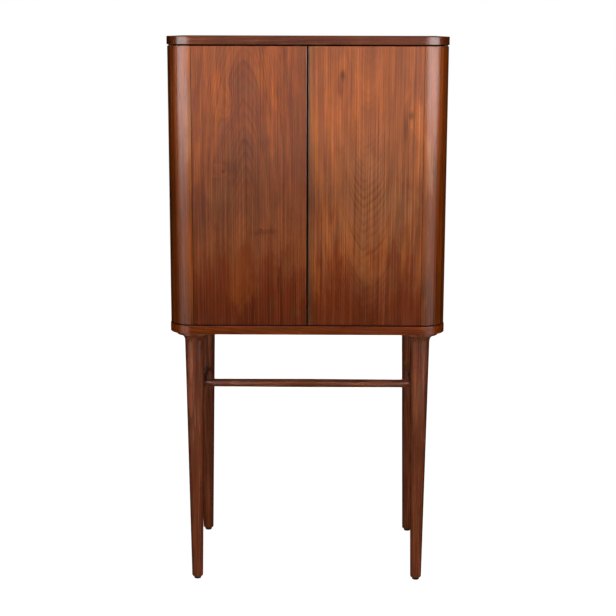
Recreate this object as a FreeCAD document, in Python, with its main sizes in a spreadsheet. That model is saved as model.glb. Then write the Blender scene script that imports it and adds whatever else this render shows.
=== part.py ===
import FreeCAD
import Part
import Sketcher
import math
import os

# Bar cabinet on turned legs, with two handleless doors that wrap round the front
# corners and a serving leaf inside that folds out over pull-out lopers.
# Origin: on the floor, below the middle of the cabinet. +X right, -Y front, +Z up.

doc = FreeCAD.newDocument("bar_cabinet")
sheet = doc.addObject("Spreadsheet::Sheet", "Sizes")

sizes = {
    # whole cabinet
    "overall_width": 754.0,
    "overall_depth": 540.0,
    "overall_height": 1524.0,
    "top_thickness": 22.0,
    "base_thickness": 23.5,
    "base_underside": 725.5,
    "corner_radius": 68.0,
    "slab_overhang": 1.5,
    "slab_edge_round": 1.5,
    "side_thickness": 20.0,
    "back_thickness": 8.0,
    "back_inset": 3.5,
    "back_rebate": 8.0,
    "board_clearance": 0.2,
    # doors and their knife hinges
    "door_thickness": 21.0,
    "door_gap": 3.5,
    "center_gap": 4.0,
    "hinge_gap": 3.0,
    "pivot_setback": 12.0,
    "door_edge_round": 1.5,
    "seam_groove": 1.0,
    "pivot_pin_radius": 3.0,
    "pivot_pin_depth": 9.0,
    "running_fit": 0.05,
    "pivot_pin_end_play": 1.0,
    "hinge_plate_thickness": 3.0,
    "door_plate_radius": 6.0,
    "door_plate_length": 24.0,
    "case_plate_radius": 7.0,
    "case_plate_length": 42.0,
    "hinge_screw_radius": 1.7,
    "door_screw_offset": 12.0,
    "door_screw_spacing": 9.6,
    "case_screw_offset": 19.0,
    "case_screw_spacing": 19.0,
    "washer_radius": 7.0,
    "washer_play": 0.05,
    # bottle trays on the doors
    "tray_side_margin": 22.0,
    "tray_corner_margin": 11.0,
    "tray_depth": 92.0,
    "tray_height": 96.0,
    "tray_board": 12.0,
    "tray_level": 812.0,
    "tray_corner_round": 30.0,
    "tray_rail_radius": 4.0,
    "tray_rail_rise": 66.0,
    "tray_rail_inset": 12.0,
    "tray_rail_seat": 7.0,
    # touch latches
    "latch_spacing": 60.0,
    "latch_width": 18.0,
    "latch_drop": 17.0,
    "latch_length": 58.0,
    "latch_stand_off": 6.5,
    "plunger_radius": 4.0,
    "plunger_length": 42.0,
    "plunger_press": 3.0,
    "strike_thickness": 1.5,
    "strike_width": 18.0,
    "strike_height": 15.0,
    "strike_gap": 0.3,
    # interior boards
    "counter_height": 1117.0,
    "counter_thickness": 18.0,
    "counter_depth": 300.0,
    "divider_thickness": 18.0,
    "rack_board": 8.0,
    "shelf_thickness": 18.0,
    "shelf_level": 924.0,
    "shelf_play": 0.5,
    "shelf_front_inset": 6.0,
    "pin_radius": 2.5,
    "pin_collar_radius": 4.5,
    "pin_collar_length": 1.5,
    "pin_reach": 10.0,
    "pin_row_pitch": 32.0,
    "pin_column_inset": 45.0,
    "dowel_radius": 4.0,
    "dowel_length": 30.0,
    "dowel_in_slab": 12.0,
    "dowel_edge_distance": 60.0,
    "glue_clearance": 0.1,
    # fold-out leaf and its hinges
    "leaf_thickness": 18.0,
    "leaf_clearance": 5.5,
    "leaf_rest_gap": 0.5,
    "leaf_edge_gap": 0.5,
    "leaf_edge_round": 2.0,
    "grip_half_width": 32.0,
    "grip_depth": 12.0,
    "barrel_radius": 3.5,
    "barrel_length": 46.0,
    "barrel_clearance": 0.4,
    "knuckle_gap": 0.2,
    "flap_reach": 26.0,
    "flap_thickness": 2.0,
    "leaf_pin_radius": 1.5,
    "leaf_hinge_spacing": 440.0,
    "flap_screw_setback": 17.0,
    "flap_screw_spacing": 28.0,
    # lopers and their guides
    "loper_width": 28.0,
    "loper_head_width": 34.0,
    "loper_thickness": 24.0,
    "loper_length": 265.0,
    "loper_travel": 165.0,
    "loper_clearance": 0.3,
    "guide_wall": 7.0,
    "guide_mouth": 10.0,
    "knob_radius": 7.0,
    "knob_neck_radius": 3.5,
    "knob_length": 13.0,
    "knob_neck_length": 2.5,
    "knob_rim": 1.75,
    "knob_crown": 3.5,
    "knob_shank_radius": 2.0,
    "knob_shank_length": 10.0,
    # stemware rails
    "rail_pitch": 94.0,
    "rail_flange_width": 66.0,
    "rail_flange_thickness": 7.0,
    "rail_web_width": 20.0,
    "rail_height": 25.0,
    "rail_front_margin": 96.0,
    "rail_back_margin": 20.0,
    # wall brackets
    "bracket_spacing": 406.4,
    "bracket_width": 30.0,
    "bracket_height": 66.0,
    "bracket_thickness": 2.5,
    "bracket_drop": 10.0,
    "wall_hole_radius": 2.75,
    "wall_hole_rise": 14.0,
    "fixing_hole_radius": 2.0,
    "fixing_hole_drop": 14.0,
    "fixing_hole_spacing": 15.0,
    "access_hole_radius": 7.0,
    # legs, glides and stretchers
    "leg_inset": 65.5,
    "leg_foot_radius": 15.6,
    "leg_neck_radius": 26.8,
    "leg_flange_radius": 48.0,
    "leg_flange_edge": 8.5,
    "leg_edge_round": 1.5,
    "leg_foot_round": 4.0,
    "glide_radius": 10.0,
    "glide_height": 7.0,
    "glide_edge_round": 2.0,
    "glide_shank_radius": 2.5,
    "glide_shank_length": 14.0,
    "bolt_radius": 5.0,
    "bolt_in_leg": 42.0,
    "bolt_in_base": 15.0,
    "insert_radius": 8.0,
    "insert_length": 17.0,
    "stretcher_height": 524.0,
    "side_stretcher_radius": 13.5,
    "side_stretcher_end_radius": 8.0,
    "cross_stretcher_radius": 12.3,
    "cross_stretcher_shoulder_radius": 11.5,
    "cross_stretcher_end_radius": 7.0,
    "cross_stretcher_nose": 26.0,
    "stretcher_seat": 14.0,
    "cross_stretcher_seat": 9.0,
    # how far a cutting shape runs past what it cuts
    "cut_overrun": 1.0,
}

for row, (alias, value) in enumerate(sizes.items(), start=1):
    sheet.set(f"A{row}", alias)
    sheet.set(f"B{row}", str(value))
    sheet.setAlias(f"B{row}", alias)
doc.recompute()

# How often things repeat, and how near counts as touching.
RACK_ROWS = 3
RACK_COLUMNS = 3
STEMWARE_RAILS = 5
PIN_ROWS = 5
DOWELS_PER_EDGE = 3
TOUCH = 1e-6

# Places that several pieces share, each worked out from the sizes above.
past = "Sizes.cut_overrun"
half_width = "(Sizes.overall_width / 2)"
half_depth = "(Sizes.overall_depth / 2)"
body_half = f"({half_width} - Sizes.slab_overhang)"
body_front = f"(Sizes.slab_overhang - {half_depth})"
body_back = f"({half_depth} - Sizes.slab_overhang)"
corner_x = f"({half_width} - Sizes.corner_radius)"
corner_y = f"(Sizes.corner_radius - {half_depth})"
door_radius = "(Sizes.corner_radius - Sizes.slab_overhang)"
door_inner_radius = f"({door_radius} - Sizes.door_thickness)"
door_inner = f"({body_front} + Sizes.door_thickness)"
nose_radius = "(Sizes.door_thickness / 2)"
pivot_x = f"({body_half} - {nose_radius})"
pivot_y = f"({corner_y} + Sizes.pivot_setback)"
side_front = f"({pivot_y} + {nose_radius} + Sizes.hinge_gap)"
side_inner = f"({body_half} - Sizes.side_thickness)"
top_underside = "(Sizes.overall_height - Sizes.top_thickness)"
base_top = "(Sizes.base_underside + Sizes.base_thickness)"
door_bottom = f"({base_top} + Sizes.door_gap)"
door_top = f"({top_underside} - Sizes.door_gap)"
back_outer = f"({half_depth} - Sizes.back_inset)"
back_inner = f"({back_outer} - Sizes.back_thickness)"
counter_under = "(Sizes.counter_height - Sizes.counter_thickness)"
counter_front = f"({back_inner} - Sizes.counter_depth)"
divider_half = "(Sizes.divider_thickness / 2)"
leaf_axis_y = f"({counter_front} - Sizes.leaf_edge_gap)"
leaf_axis_z = "(Sizes.counter_height + Sizes.leaf_rest_gap / 2)"
leg_x = f"({half_width} - Sizes.leg_inset)"
leg_y = f"({half_depth} - Sizes.leg_inset)"
leg_base = "Sizes.glide_height"
leg_flange_underside = "(Sizes.base_underside - Sizes.leg_flange_edge)"
leg_cove = "(Sizes.leg_flange_radius - Sizes.leg_neck_radius)"

pieces = []


def number(expression):
    """Value of an expression over the sheet, for counts and for a sketch's first drawing."""
    return float(sheet.evalExpression(expression))


def bind(item, **formulas):
    """Bind properties to formulas; a double underscore stands for a dot in a property path."""
    for path, formula in formulas.items():
        item.setExpression(path.replace("__", "."), formula)


def place(item, x="0", y="0", z="0", rotation=None):
    """Turn an item, then bind where its own origin goes."""
    if rotation is not None:
        item.Placement = FreeCAD.Placement(FreeCAD.Vector(), rotation)
    bind(item, Placement__Base__x=x, Placement__Base__y=y, Placement__Base__z=z)


def keep(item, label):
    """Name a finished sub-part and put it on the list of what is written out."""
    item.Label = label
    pieces.append(item)
    return item


# Part primitives between stated limits.

def block(name, x, y, z):
    """A box that runs between two limits along each axis."""
    item = doc.addObject("Part::Box", name)
    bind(item,
         Length=f"{x[1]} - ({x[0]})",
         Width=f"{y[1]} - ({y[0]})",
         Height=f"{z[1]} - ({z[0]})")
    place(item, x[0], y[0], z[0])
    return item


def rod(name, radius, length, x, y, z, toward="Z"):
    """A cylinder from a start point toward X, Y or Z, or the other way with a minus sign."""
    turns = {
        "Z": FreeCAD.Rotation(),
        "-Z": FreeCAD.Rotation(FreeCAD.Vector(1, 0, 0), 180),
        "X": FreeCAD.Rotation(FreeCAD.Vector(0, 1, 0), 90),
        "-X": FreeCAD.Rotation(FreeCAD.Vector(0, 1, 0), -90),
        "Y": FreeCAD.Rotation(FreeCAD.Vector(1, 0, 0), -90),
        "-Y": FreeCAD.Rotation(FreeCAD.Vector(1, 0, 0), 90),
    }
    item = doc.addObject("Part::Cylinder", name)
    bind(item, Radius=radius, Height=length)
    place(item, x, y, z, turns[toward])
    return item


def group(name, members):
    item = doc.addObject("Part::Compound", name)
    item.Links = members
    return item


def fuse(name, members):
    item = doc.addObject("Part::MultiFuse", name)
    item.Shapes = members
    return item


def cut(name, base, tools):
    item = doc.addObject("Part::Cut", name)
    item.Base = base
    item.Tool = tools[0] if len(tools) == 1 else group(name + "_tools", tools)
    return item


def mirrored(name, source):
    """The other hand of a piece, mirrored through the middle of the cabinet."""
    item = doc.addObject("Part::Mirroring", name)
    item.Source = source
    item.Normal = FreeCAD.Vector(1, 0, 0)
    return item


# Bodies with sketches.

def new_body(name):
    return doc.addObject("PartDesign::Body", name)


def new_sketch(body, name, role, offset="0"):
    """A sketch on one of the body's origin planes, moved along that plane's normal."""
    sketch = body.newObject("Sketcher::SketchObject", f"{body.Name}_{name}")
    plane = [item for item in body.Origin.OriginFeatures if item.Role == role][0]
    sketch.AttachmentSupport = [(plane, "")]
    sketch.MapMode = "FlatFace"
    sketch.setExpression("AttachmentOffset.Base.z", offset)
    return sketch


def constrain(sketch, kind, geometry, point, formula, name):
    """Hold one point or radius at a formula."""
    if kind == "Radius":
        index = sketch.addConstraint(Sketcher.Constraint("Radius", geometry, number(formula)))
    elif formula == "0":
        axis = -2 if kind == "DistanceX" else -1
        sketch.addConstraint(Sketcher.Constraint("PointOnObject", geometry, point, axis))
        return
    else:
        place_on = Sketcher.Constraint(kind, -1, 1, geometry, point, number(formula))
        index = sketch.addConstraint(place_on)
    sketch.renameConstraint(index, name)
    sketch.setExpression(f"Constraints.{name}", formula)


def arc_between(start, end, radius, turn):
    """The shorter arc from start to end; turn is ccw or cw."""
    middle = (start + end) / 2
    chord = end - start
    rise = math.sqrt(max(radius ** 2 - (chord.Length / 2) ** 2, 0.0))
    side = FreeCAD.Vector(-chord.y, chord.x, 0).normalize()
    sign = 1 if turn == "ccw" else -1
    center = middle + side * rise * sign
    circle = Part.Circle(center, FreeCAD.Vector(0, 0, 1), radius)
    first = math.atan2(start.y - center.y, start.x - center.x)
    last = math.atan2(end.y - center.y, end.x - center.x)
    if turn == "cw":
        first, last = last, first
    return Part.ArcOfCircle(circle, first, last)


def draw(sketch, points):
    """A closed outline. A point is (x, y), with a straight run to the next one, or
    (x, y, radius, turn), with an arc to the next one."""
    corners = [FreeCAD.Vector(number(point[0]), number(point[1]), 0) for point in points]
    starts = []
    ends = []
    for index, point in enumerate(points):
        start = corners[index]
        end = corners[(index + 1) % len(points)]
        if len(point) == 2:
            sketch.addGeometry(Part.LineSegment(start, end), False)
        else:
            sketch.addGeometry(arc_between(start, end, number(point[2]), point[3]), False)
        backward = len(point) == 4 and point[3] == "cw"
        starts.append(2 if backward else 1)
        ends.append(1 if backward else 2)
    first = sketch.GeometryCount - len(points)
    for index, point in enumerate(points):
        item = first + index
        following = (index + 1) % len(points)
        sketch.addConstraint(Sketcher.Constraint(
            "Coincident", item, ends[index], first + following, starts[following]))
        constrain(sketch, "DistanceX", item, starts[index], point[0], f"across_{item}")
        constrain(sketch, "DistanceY", item, starts[index], point[1], f"along_{item}")
        if len(point) == 4:
            constrain(sketch, "Radius", item, 0, point[2], f"radius_{item}")


def draw_circle(sketch, x, y, radius):
    center = FreeCAD.Vector(number(x), number(y), 0)
    item = sketch.addGeometry(Part.Circle(center, FreeCAD.Vector(0, 0, 1), number(radius)), False)
    constrain(sketch, "DistanceX", item, 3, x, f"across_{item}")
    constrain(sketch, "DistanceY", item, 3, y, f"along_{item}")
    constrain(sketch, "Radius", item, 3, radius, f"radius_{item}")


def slot_along_x(low, high, y, radius):
    """A slot with round ends whose end centres lie at low and high along X."""
    return [
        (low, f"{y} - {radius}"),
        (high, f"{y} - {radius}", radius, "ccw"),
        (f"{high} + {radius}", y, radius, "ccw"),
        (high, f"{y} + {radius}"),
        (low, f"{y} + {radius}", radius, "ccw"),
        (f"{low} - {radius}", y, radius, "ccw"),
    ]


def slot_along_y(x, low, high, radius):
    """A slot with round ends whose end centres lie at low and high along Y."""
    return [
        (f"{x} + {radius}", low),
        (f"{x} + {radius}", high, radius, "ccw"),
        (x, f"{high} + {radius}", radius, "ccw"),
        (f"{x} - {radius}", high),
        (f"{x} - {radius}", low, radius, "ccw"),
        (x, f"{low} - {radius}", radius, "ccw"),
    ]


def pad(body, sketch, length):
    feature = body.newObject("PartDesign::Pad", sketch.Name + "_pad")
    feature.Profile = sketch
    bind(feature, Length=length)
    sketch.Visibility = False
    body.Tip = feature
    return feature


def pocket(body, sketch, depth, upward):
    """Cut a sketch into the body: down from its plane, or up where upward is set."""
    feature = body.newObject("PartDesign::Pocket", sketch.Name + "_pocket")
    feature.Profile = sketch
    feature.Reversed = upward
    bind(feature, Length=depth)
    sketch.Visibility = False
    body.Tip = feature
    return feature


def drill(body, name, level, depth, holes, upward):
    """Round pockets, given as (x, y, radius), from one level up or down."""
    sketch = new_sketch(body, name, "XY_Plane", level)
    for x, y, radius in holes:
        draw_circle(sketch, x, y, radius)
    return pocket(body, sketch, depth, upward)


def revolve(body, sketch):
    """Turn a profile round the body's own upright axis."""
    feature = body.newObject("PartDesign::Revolution", sketch.Name + "_turned")
    feature.Profile = sketch
    feature.ReferenceAxis = (sketch, ["V_Axis"])
    feature.Angle = 360
    sketch.Visibility = False
    body.Tip = feature
    return feature


def round_edges(body, feature, radius, wanted):
    """Round every edge of a feature that the test picks."""
    doc.recompute()
    names = [f"Edge{index}" for index, edge in enumerate(feature.Shape.Edges, start=1)
             if wanted(edge)]
    fillet = body.newObject("PartDesign::Fillet", feature.Name + "_rounded")
    fillet.Base = (feature, names)
    bind(fillet, Radius=radius)
    body.Tip = fillet
    return fillet


# The carcass.

def dowel_places():
    """Centres of the dowels that hold a side panel to a slab, front to back, right side."""
    first = f"({side_front} + Sizes.dowel_edge_distance)"
    last = f"({body_back} - Sizes.dowel_edge_distance)"
    step = f"(({last} - {first}) / {DOWELS_PER_EDGE - 1})"
    x = f"({body_half} - Sizes.side_thickness / 2)"
    return [(x, f"({first} + {index} * {step})") for index in range(DOWELS_PER_EDGE)]


def both_hands(places):
    return places + [(f"-{x}", y) for x, y in places]


def slab(label, underside, thickness, inner_level, upward):
    """Top or base: straight at the back, rounded at the front corners, with the dowel
    holes and the seats of the hinge plates in the face toward the doors."""
    body = new_body(label)
    outline = new_sketch(body, "outline", "XY_Plane", underside)
    draw(outline, [
        (f"-{half_width}", half_depth),
        (f"-{half_width}", corner_y, "Sizes.corner_radius", "ccw"),
        (f"-{corner_x}", f"-{half_depth}"),
        (corner_x, f"-{half_depth}", "Sizes.corner_radius", "ccw"),
        (half_width, corner_y),
        (half_width, half_depth),
    ])
    board = pad(body, outline, thickness)
    back = number(half_depth)

    def runs_round_the_rim(edge):
        box = edge.BoundBox
        on_back_edge = box.YMin > back - TOUCH
        return box.ZLength < TOUCH and not on_back_edge

    round_edges(body, board, "Sizes.slab_edge_round", runs_round_the_rim)
    hole = "(Sizes.dowel_radius + Sizes.glue_clearance)"
    drill(body, "dowel_holes", inner_level, "Sizes.dowel_in_slab",
          [(x, y, hole) for x, y in both_hands(dowel_places())], upward)
    seats = new_sketch(body, "hinge_seats", "XY_Plane", inner_level)
    inner_end = f"({pivot_x} - Sizes.case_plate_length)"
    draw(seats, slot_along_x(inner_end, pivot_x, pivot_y, "Sizes.case_plate_radius"))
    draw(seats, slot_along_x(f"-{pivot_x}", f"-{inner_end}", pivot_y, "Sizes.case_plate_radius"))
    pocket(body, seats, "Sizes.hinge_plate_thickness", upward)
    return body


def leg_places():
    return [(f"{across} * {leg_x}", f"{along} * {leg_y}")
            for across in (-1, 1) for along in (-1, 1)]


def make_slabs():
    top = slab("top_slab", top_underside, "Sizes.top_thickness", top_underside, True)
    keep(top, "top_slab")
    base = slab("base_slab", "Sizes.base_underside", "Sizes.base_thickness", base_top, False)
    hole = "(Sizes.insert_radius + Sizes.glue_clearance)"
    drill(base, "insert_holes", "Sizes.base_underside", "Sizes.insert_length",
          [(x, y, hole) for x, y in leg_places()], True)
    keep(base, "base_slab")


def pin_holes(name, face_x, toward):
    """Rows of holes for the shelf pins, bored from a face of the right-hand compartment."""
    holes = []
    columns = (f"({counter_front} + Sizes.pin_column_inset)",
               f"({back_inner} - Sizes.pin_column_inset)")
    for column, y in enumerate(columns):
        for row in range(PIN_ROWS):
            level = f"(Sizes.shelf_level - Sizes.pin_radius + {row - PIN_ROWS // 2}" \
                    " * Sizes.pin_row_pitch)"
            holes.append(rod(f"{name}_pin_hole_{column}_{row}",
                             "Sizes.pin_radius + Sizes.glue_clearance",
                             "Sizes.pin_reach", face_x, y, level, toward))
    return holes


def side_tools(name, side):
    """What is cut from a side panel: dowel holes at both ends and the rebate for the back."""
    tools = []
    for index, (x, y) in enumerate(dowel_places()):
        for end, level, toward in (("foot", base_top, "Z"), ("head", top_underside, "-Z")):
            tools.append(rod(f"{name}_dowel_hole_{end}_{index}",
                             "Sizes.dowel_radius + Sizes.glue_clearance",
                             "Sizes.dowel_length - Sizes.dowel_in_slab",
                             f"{side} * {x}", y, level, toward))
    inner = f"({side_inner} - {past})"
    outer = f"({side_inner} + Sizes.back_rebate + Sizes.board_clearance)"
    across = (inner, outer) if side > 0 else (f"-{outer}", f"-{inner}")
    tools.append(block(f"{name}_rebate", across,
                       (f"({back_inner} - Sizes.board_clearance)", f"({half_depth} + {past})"),
                       (f"({base_top} - {past})", f"({top_underside} + {past})")))
    return tools


def make_sides():
    for word, side in (("left", -1), ("right", 1)):
        name = f"side_panel_{word}"
        across = (side_inner, body_half) if side > 0 else (f"-{body_half}", f"-{side_inner}")
        board = block(name + "_board", across, (side_front, body_back), (base_top, top_underside))
        tools = side_tools(name, side)
        if side > 0:
            tools += pin_holes(name, side_inner, "X")
        keep(cut(name, board, tools), name)


def make_dowels():
    dowels = []
    for index, (x, y) in enumerate(both_hands(dowel_places())):
        low = f"({base_top} - Sizes.dowel_in_slab + Sizes.glue_clearance)"
        high = f"({top_underside} + Sizes.dowel_in_slab - Sizes.glue_clearance)"
        length = "Sizes.dowel_length - 2 * Sizes.glue_clearance"
        dowels.append(rod(f"dowel_foot_{index}", "Sizes.dowel_radius", length, x, y, low, "Z"))
        dowels.append(rod(f"dowel_head_{index}", "Sizes.dowel_radius", length, x, y, high, "-Z"))
    keep(group("case_dowels", dowels), "case_dowels")


def bracket_places():
    return [("left", "(-Sizes.bracket_spacing / 2)"), ("right", "(Sizes.bracket_spacing / 2)")]


bracket_top = f"({top_underside} - Sizes.bracket_drop)"
bracket_bottom = f"({bracket_top} - Sizes.bracket_height)"
wall_hole_level = f"({bracket_bottom} + Sizes.wall_hole_rise)"


def make_back():
    edge = f"({side_inner} + Sizes.back_rebate)"
    board = block("back_panel_board", (f"-{edge}", edge), (back_inner, back_outer),
                  (base_top, top_underside))
    holes = [rod(f"back_panel_access_{word}", "Sizes.access_hole_radius",
                 f"Sizes.back_thickness + 2 * {past}", x, f"({back_inner} - {past})",
                 wall_hole_level, "Y")
             for word, x in bracket_places()]
    keep(cut("back_panel", board, holes), "back_panel")


def make_wall_brackets():
    """Two flat steel straps on the back panel, drilled at the spacing of wall studs."""
    straps = []
    near = f"({back_outer} - {past})"
    depth = f"(Sizes.bracket_thickness + 2 * {past})"
    fixing_level = f"({bracket_top} - Sizes.fixing_hole_drop)"
    for word, x in bracket_places():
        strap = block(f"bracket_{word}_strap",
                      (f"({x} - Sizes.bracket_width / 2)", f"({x} + Sizes.bracket_width / 2)"),
                      (back_outer, f"({back_outer} + Sizes.bracket_thickness)"),
                      (bracket_bottom, bracket_top))
        holes = [rod(f"bracket_{word}_wall_hole", "Sizes.wall_hole_radius", depth, x, near,
                     wall_hole_level, "Y")]
        for index, side in enumerate((-1, 1)):
            across = f"({x} + {side} * Sizes.fixing_hole_spacing / 2)"
            holes.append(rod(f"bracket_{word}_fixing_{index}", "Sizes.fixing_hole_radius", depth,
                             across, near, fixing_level, "Y"))
        straps.append(cut(f"bracket_{word}", strap, holes))
    keep(group("wall_brackets", straps), "wall_brackets")


# What is fitted inside.

hinge_half = "(Sizes.barrel_length / 2)"
leaf_hinges = [("left", "(-Sizes.leaf_hinge_spacing / 2)"),
               ("right", "(Sizes.leaf_hinge_spacing / 2)")]


def hinge_mortises(name, upper, lower):
    """Room for the leaf's hinges in a board: a flat seat and a round groove for the barrel."""
    tools = []
    for word, x in leaf_hinges:
        low = f"({x} - {hinge_half} - Sizes.board_clearance)"
        high = f"({x} + {hinge_half} + Sizes.board_clearance)"
        reach = f"({leaf_axis_y} + Sizes.flap_reach + Sizes.board_clearance)"
        tools.append(block(f"{name}_seat_{word}", (low, high), (leaf_axis_y, reach),
                           (lower, upper)))
        tools.append(rod(f"{name}_groove_{word}", "Sizes.barrel_radius + Sizes.barrel_clearance",
                         f"{high} - {low}", low, leaf_axis_y, leaf_axis_z, "X"))
    return tools


def make_counter():
    board = block("counter_shelf_board", (f"-{side_inner}", side_inner),
                  (counter_front, back_inner), (counter_under, "Sizes.counter_height"))
    tools = hinge_mortises("counter_shelf", f"(Sizes.counter_height + {past})",
                           "(Sizes.counter_height - Sizes.flap_thickness)")
    keep(cut("counter_shelf", board, [fuse("counter_shelf_mortises", tools)]), "counter_shelf")


def make_divider():
    board = block("center_divider_board", (f"-{divider_half}", divider_half),
                  (counter_front, back_inner), (base_top, counter_under))
    keep(cut("center_divider", board, pin_holes("center_divider", divider_half, "-X")),
         "center_divider")


def make_shelf():
    keep(block("adjustable_shelf",
               (f"({divider_half} + Sizes.shelf_play)", f"({side_inner} - Sizes.shelf_play)"),
               (f"({counter_front} + Sizes.shelf_front_inset)",
                f"({back_inner} - Sizes.shelf_play)"),
               ("Sizes.shelf_level", "(Sizes.shelf_level + Sizes.shelf_thickness)")),
         "adjustable_shelf")


def make_shelf_pins():
    """Four pins with collars: the shank sits in the board, the rest carries the shelf."""
    pins = []
    level = "(Sizes.shelf_level - Sizes.pin_radius)"
    shank = "(Sizes.pin_reach - Sizes.glue_clearance)"
    columns = (f"({counter_front} + Sizes.pin_column_inset)",
               f"({back_inner} - Sizes.pin_column_inset)")
    for column, y in enumerate(columns):
        for word, face, inward, outward in (("divider", divider_half, "X", -1),
                                            ("side", side_inner, "-X", 1)):
            name = f"pin_{word}_{column}"
            start = f"({face} + {outward} * {shank})"
            bar = rod(name + "_bar", "Sizes.pin_radius", f"2 * {shank}", start, y, level, inward)
            collar = rod(name + "_collar", "Sizes.pin_collar_radius", "Sizes.pin_collar_length",
                         face, y, level, inward)
            clear = block(name + "_flat", (f"({face} - Sizes.pin_reach)",
                                           f"({face} + Sizes.pin_reach)"),
                          (f"({y} - Sizes.pin_reach)", f"({y} + Sizes.pin_reach)"),
                          ("Sizes.shelf_level", "(Sizes.shelf_level + Sizes.pin_reach)"))
            pins.append(cut(name, fuse(name + "_whole", [bar, collar]), [clear]))
    keep(group("shelf_pins", pins), "shelf_pins")


def make_bottle_rack():
    """Crossed boards with halved joints: the lying ones are slotted from the front, the
    standing ones from the back, each to half its depth."""
    left = f"(-{side_inner})"
    right = f"(-{divider_half})"
    depth_middle = f"(({counter_front} + {back_inner}) / 2)"
    cell_width = f"(({right} - {left} - {RACK_COLUMNS - 1} * Sizes.rack_board) / {RACK_COLUMNS})"
    cell_height = f"(({counter_under} - {base_top} - {RACK_ROWS - 1} * Sizes.rack_board)" \
                  f" / {RACK_ROWS})"
    board_x = [f"({left} + {index} * ({cell_width} + Sizes.rack_board) - Sizes.rack_board)"
               for index in range(1, RACK_COLUMNS)]
    board_z = [f"({base_top} + {index} * ({cell_height} + Sizes.rack_board) - Sizes.rack_board)"
               for index in range(1, RACK_ROWS)]
    play = "Sizes.board_clearance"
    for word, level in zip(("lower", "upper"), board_z):
        name = f"rack_shelf_{word}"
        board = block(name + "_board", (left, right), (counter_front, back_inner),
                      (level, f"({level} + Sizes.rack_board)"))
        slots = [block(f"{name}_slot_{index}",
                       (f"({x} - {play})", f"({x} + Sizes.rack_board + {play})"),
                       (f"({counter_front} - {past})", f"({depth_middle} + {play})"),
                       (f"({level} - {past})", f"({level} + Sizes.rack_board + {past})"))
                 for index, x in enumerate(board_x)]
        keep(cut(name, board, slots), name)
    for word, x in zip(("left", "right"), board_x):
        name = f"rack_divider_{word}"
        board = block(name + "_board", (x, f"({x} + Sizes.rack_board)"),
                      (counter_front, back_inner), (base_top, counter_under))
        slots = [block(f"{name}_slot_{index}",
                       (f"({x} - {past})", f"({x} + Sizes.rack_board + {past})"),
                       (f"({depth_middle} - {play})", f"({back_inner} + {past})"),
                       (f"({level} - {play})", f"({level} + Sizes.rack_board + {play})"))
                 for index, level in enumerate(board_z)]
        keep(cut(name, board, slots), name)


def make_stemware_rails():
    """T-shaped rails under the top: the foot of a glass slides in over the flanges."""
    front_end = f"({door_inner} + Sizes.rail_front_margin)"
    back_end = f"({back_inner} - Sizes.rail_back_margin)"
    for index in range(STEMWARE_RAILS):
        name = f"stemware_rail_{index + 1}"
        body = new_body(name)
        section = new_sketch(body, "section", "XZ_Plane")
        web = "(Sizes.rail_web_width / 2)"
        flange = "(Sizes.rail_flange_width / 2)"
        shoulder = "(Sizes.rail_flange_thickness - Sizes.rail_height)"
        draw(section, [
            (f"-{web}", "0"),
            (f"-{web}", shoulder),
            (f"-{flange}", shoulder),
            (f"-{flange}", "-Sizes.rail_height"),
            (flange, "-Sizes.rail_height"),
            (flange, shoulder),
            (web, shoulder),
            (web, "0"),
        ])
        pad(body, section, f"{back_end} - {front_end}")
        offset = f"{index - (STEMWARE_RAILS - 1) / 2} * Sizes.rail_pitch"
        place(body, offset, back_end, top_underside)
        keep(body, name)


# The doors and what they carry.

door_height = f"({door_top} - {door_bottom})"


def make_door_panel():
    body = new_body("door_right_panel")
    outline = new_sketch(body, "outline", "XY_Plane", door_bottom)
    edge = "(Sizes.center_gap / 2)"
    draw(outline, [
        (edge, door_inner),
        (edge, f"({body_front} + Sizes.door_edge_round)", "Sizes.door_edge_round", "ccw"),
        (f"({edge} + Sizes.door_edge_round)", body_front),
        (f"({corner_x} - Sizes.seam_groove)", body_front),
        (corner_x, f"({body_front} + Sizes.seam_groove)"),
        (corner_x, door_inner),
    ])
    pad(body, outline, door_height)
    return keep(body, "door_right_panel")


def make_door_corner():
    """Solid stile bent round the corner of the case. Its rear edge is a half round about
    the pivot, so it turns beside the side panel without touching it."""
    body = new_body("door_right_corner")
    outline = new_sketch(body, "outline", "XY_Plane", door_bottom)
    inner_x = f"({pivot_x} - {nose_radius})"
    draw(outline, [
        (corner_x, body_front, door_radius, "ccw"),
        (body_half, corner_y),
        (body_half, pivot_y, nose_radius, "ccw"),
        (pivot_x, f"({pivot_y} + {nose_radius})", nose_radius, "ccw"),
        (inner_x, pivot_y),
        (inner_x, corner_y, door_inner_radius, "cw"),
        (corner_x, door_inner),
    ])
    pad(body, outline, door_height)
    plate_end = f"({pivot_y} - Sizes.door_plate_length)"
    bore_depth = "(Sizes.hinge_plate_thickness + Sizes.pivot_pin_depth)"
    bore_radius = "(Sizes.pivot_pin_radius + Sizes.barrel_clearance)"
    for word, level, upward in (("foot", door_bottom, True), ("head", door_top, False)):
        seat = new_sketch(body, f"{word}_seat", "XY_Plane", level)
        draw(seat, slot_along_y(pivot_x, plate_end, pivot_y, "Sizes.door_plate_radius"))
        pocket(body, seat, "Sizes.hinge_plate_thickness", upward)
        drill(body, f"{word}_bore", level, bore_depth, [(pivot_x, pivot_y, bore_radius)], upward)
    return keep(body, "door_right_corner")


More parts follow.
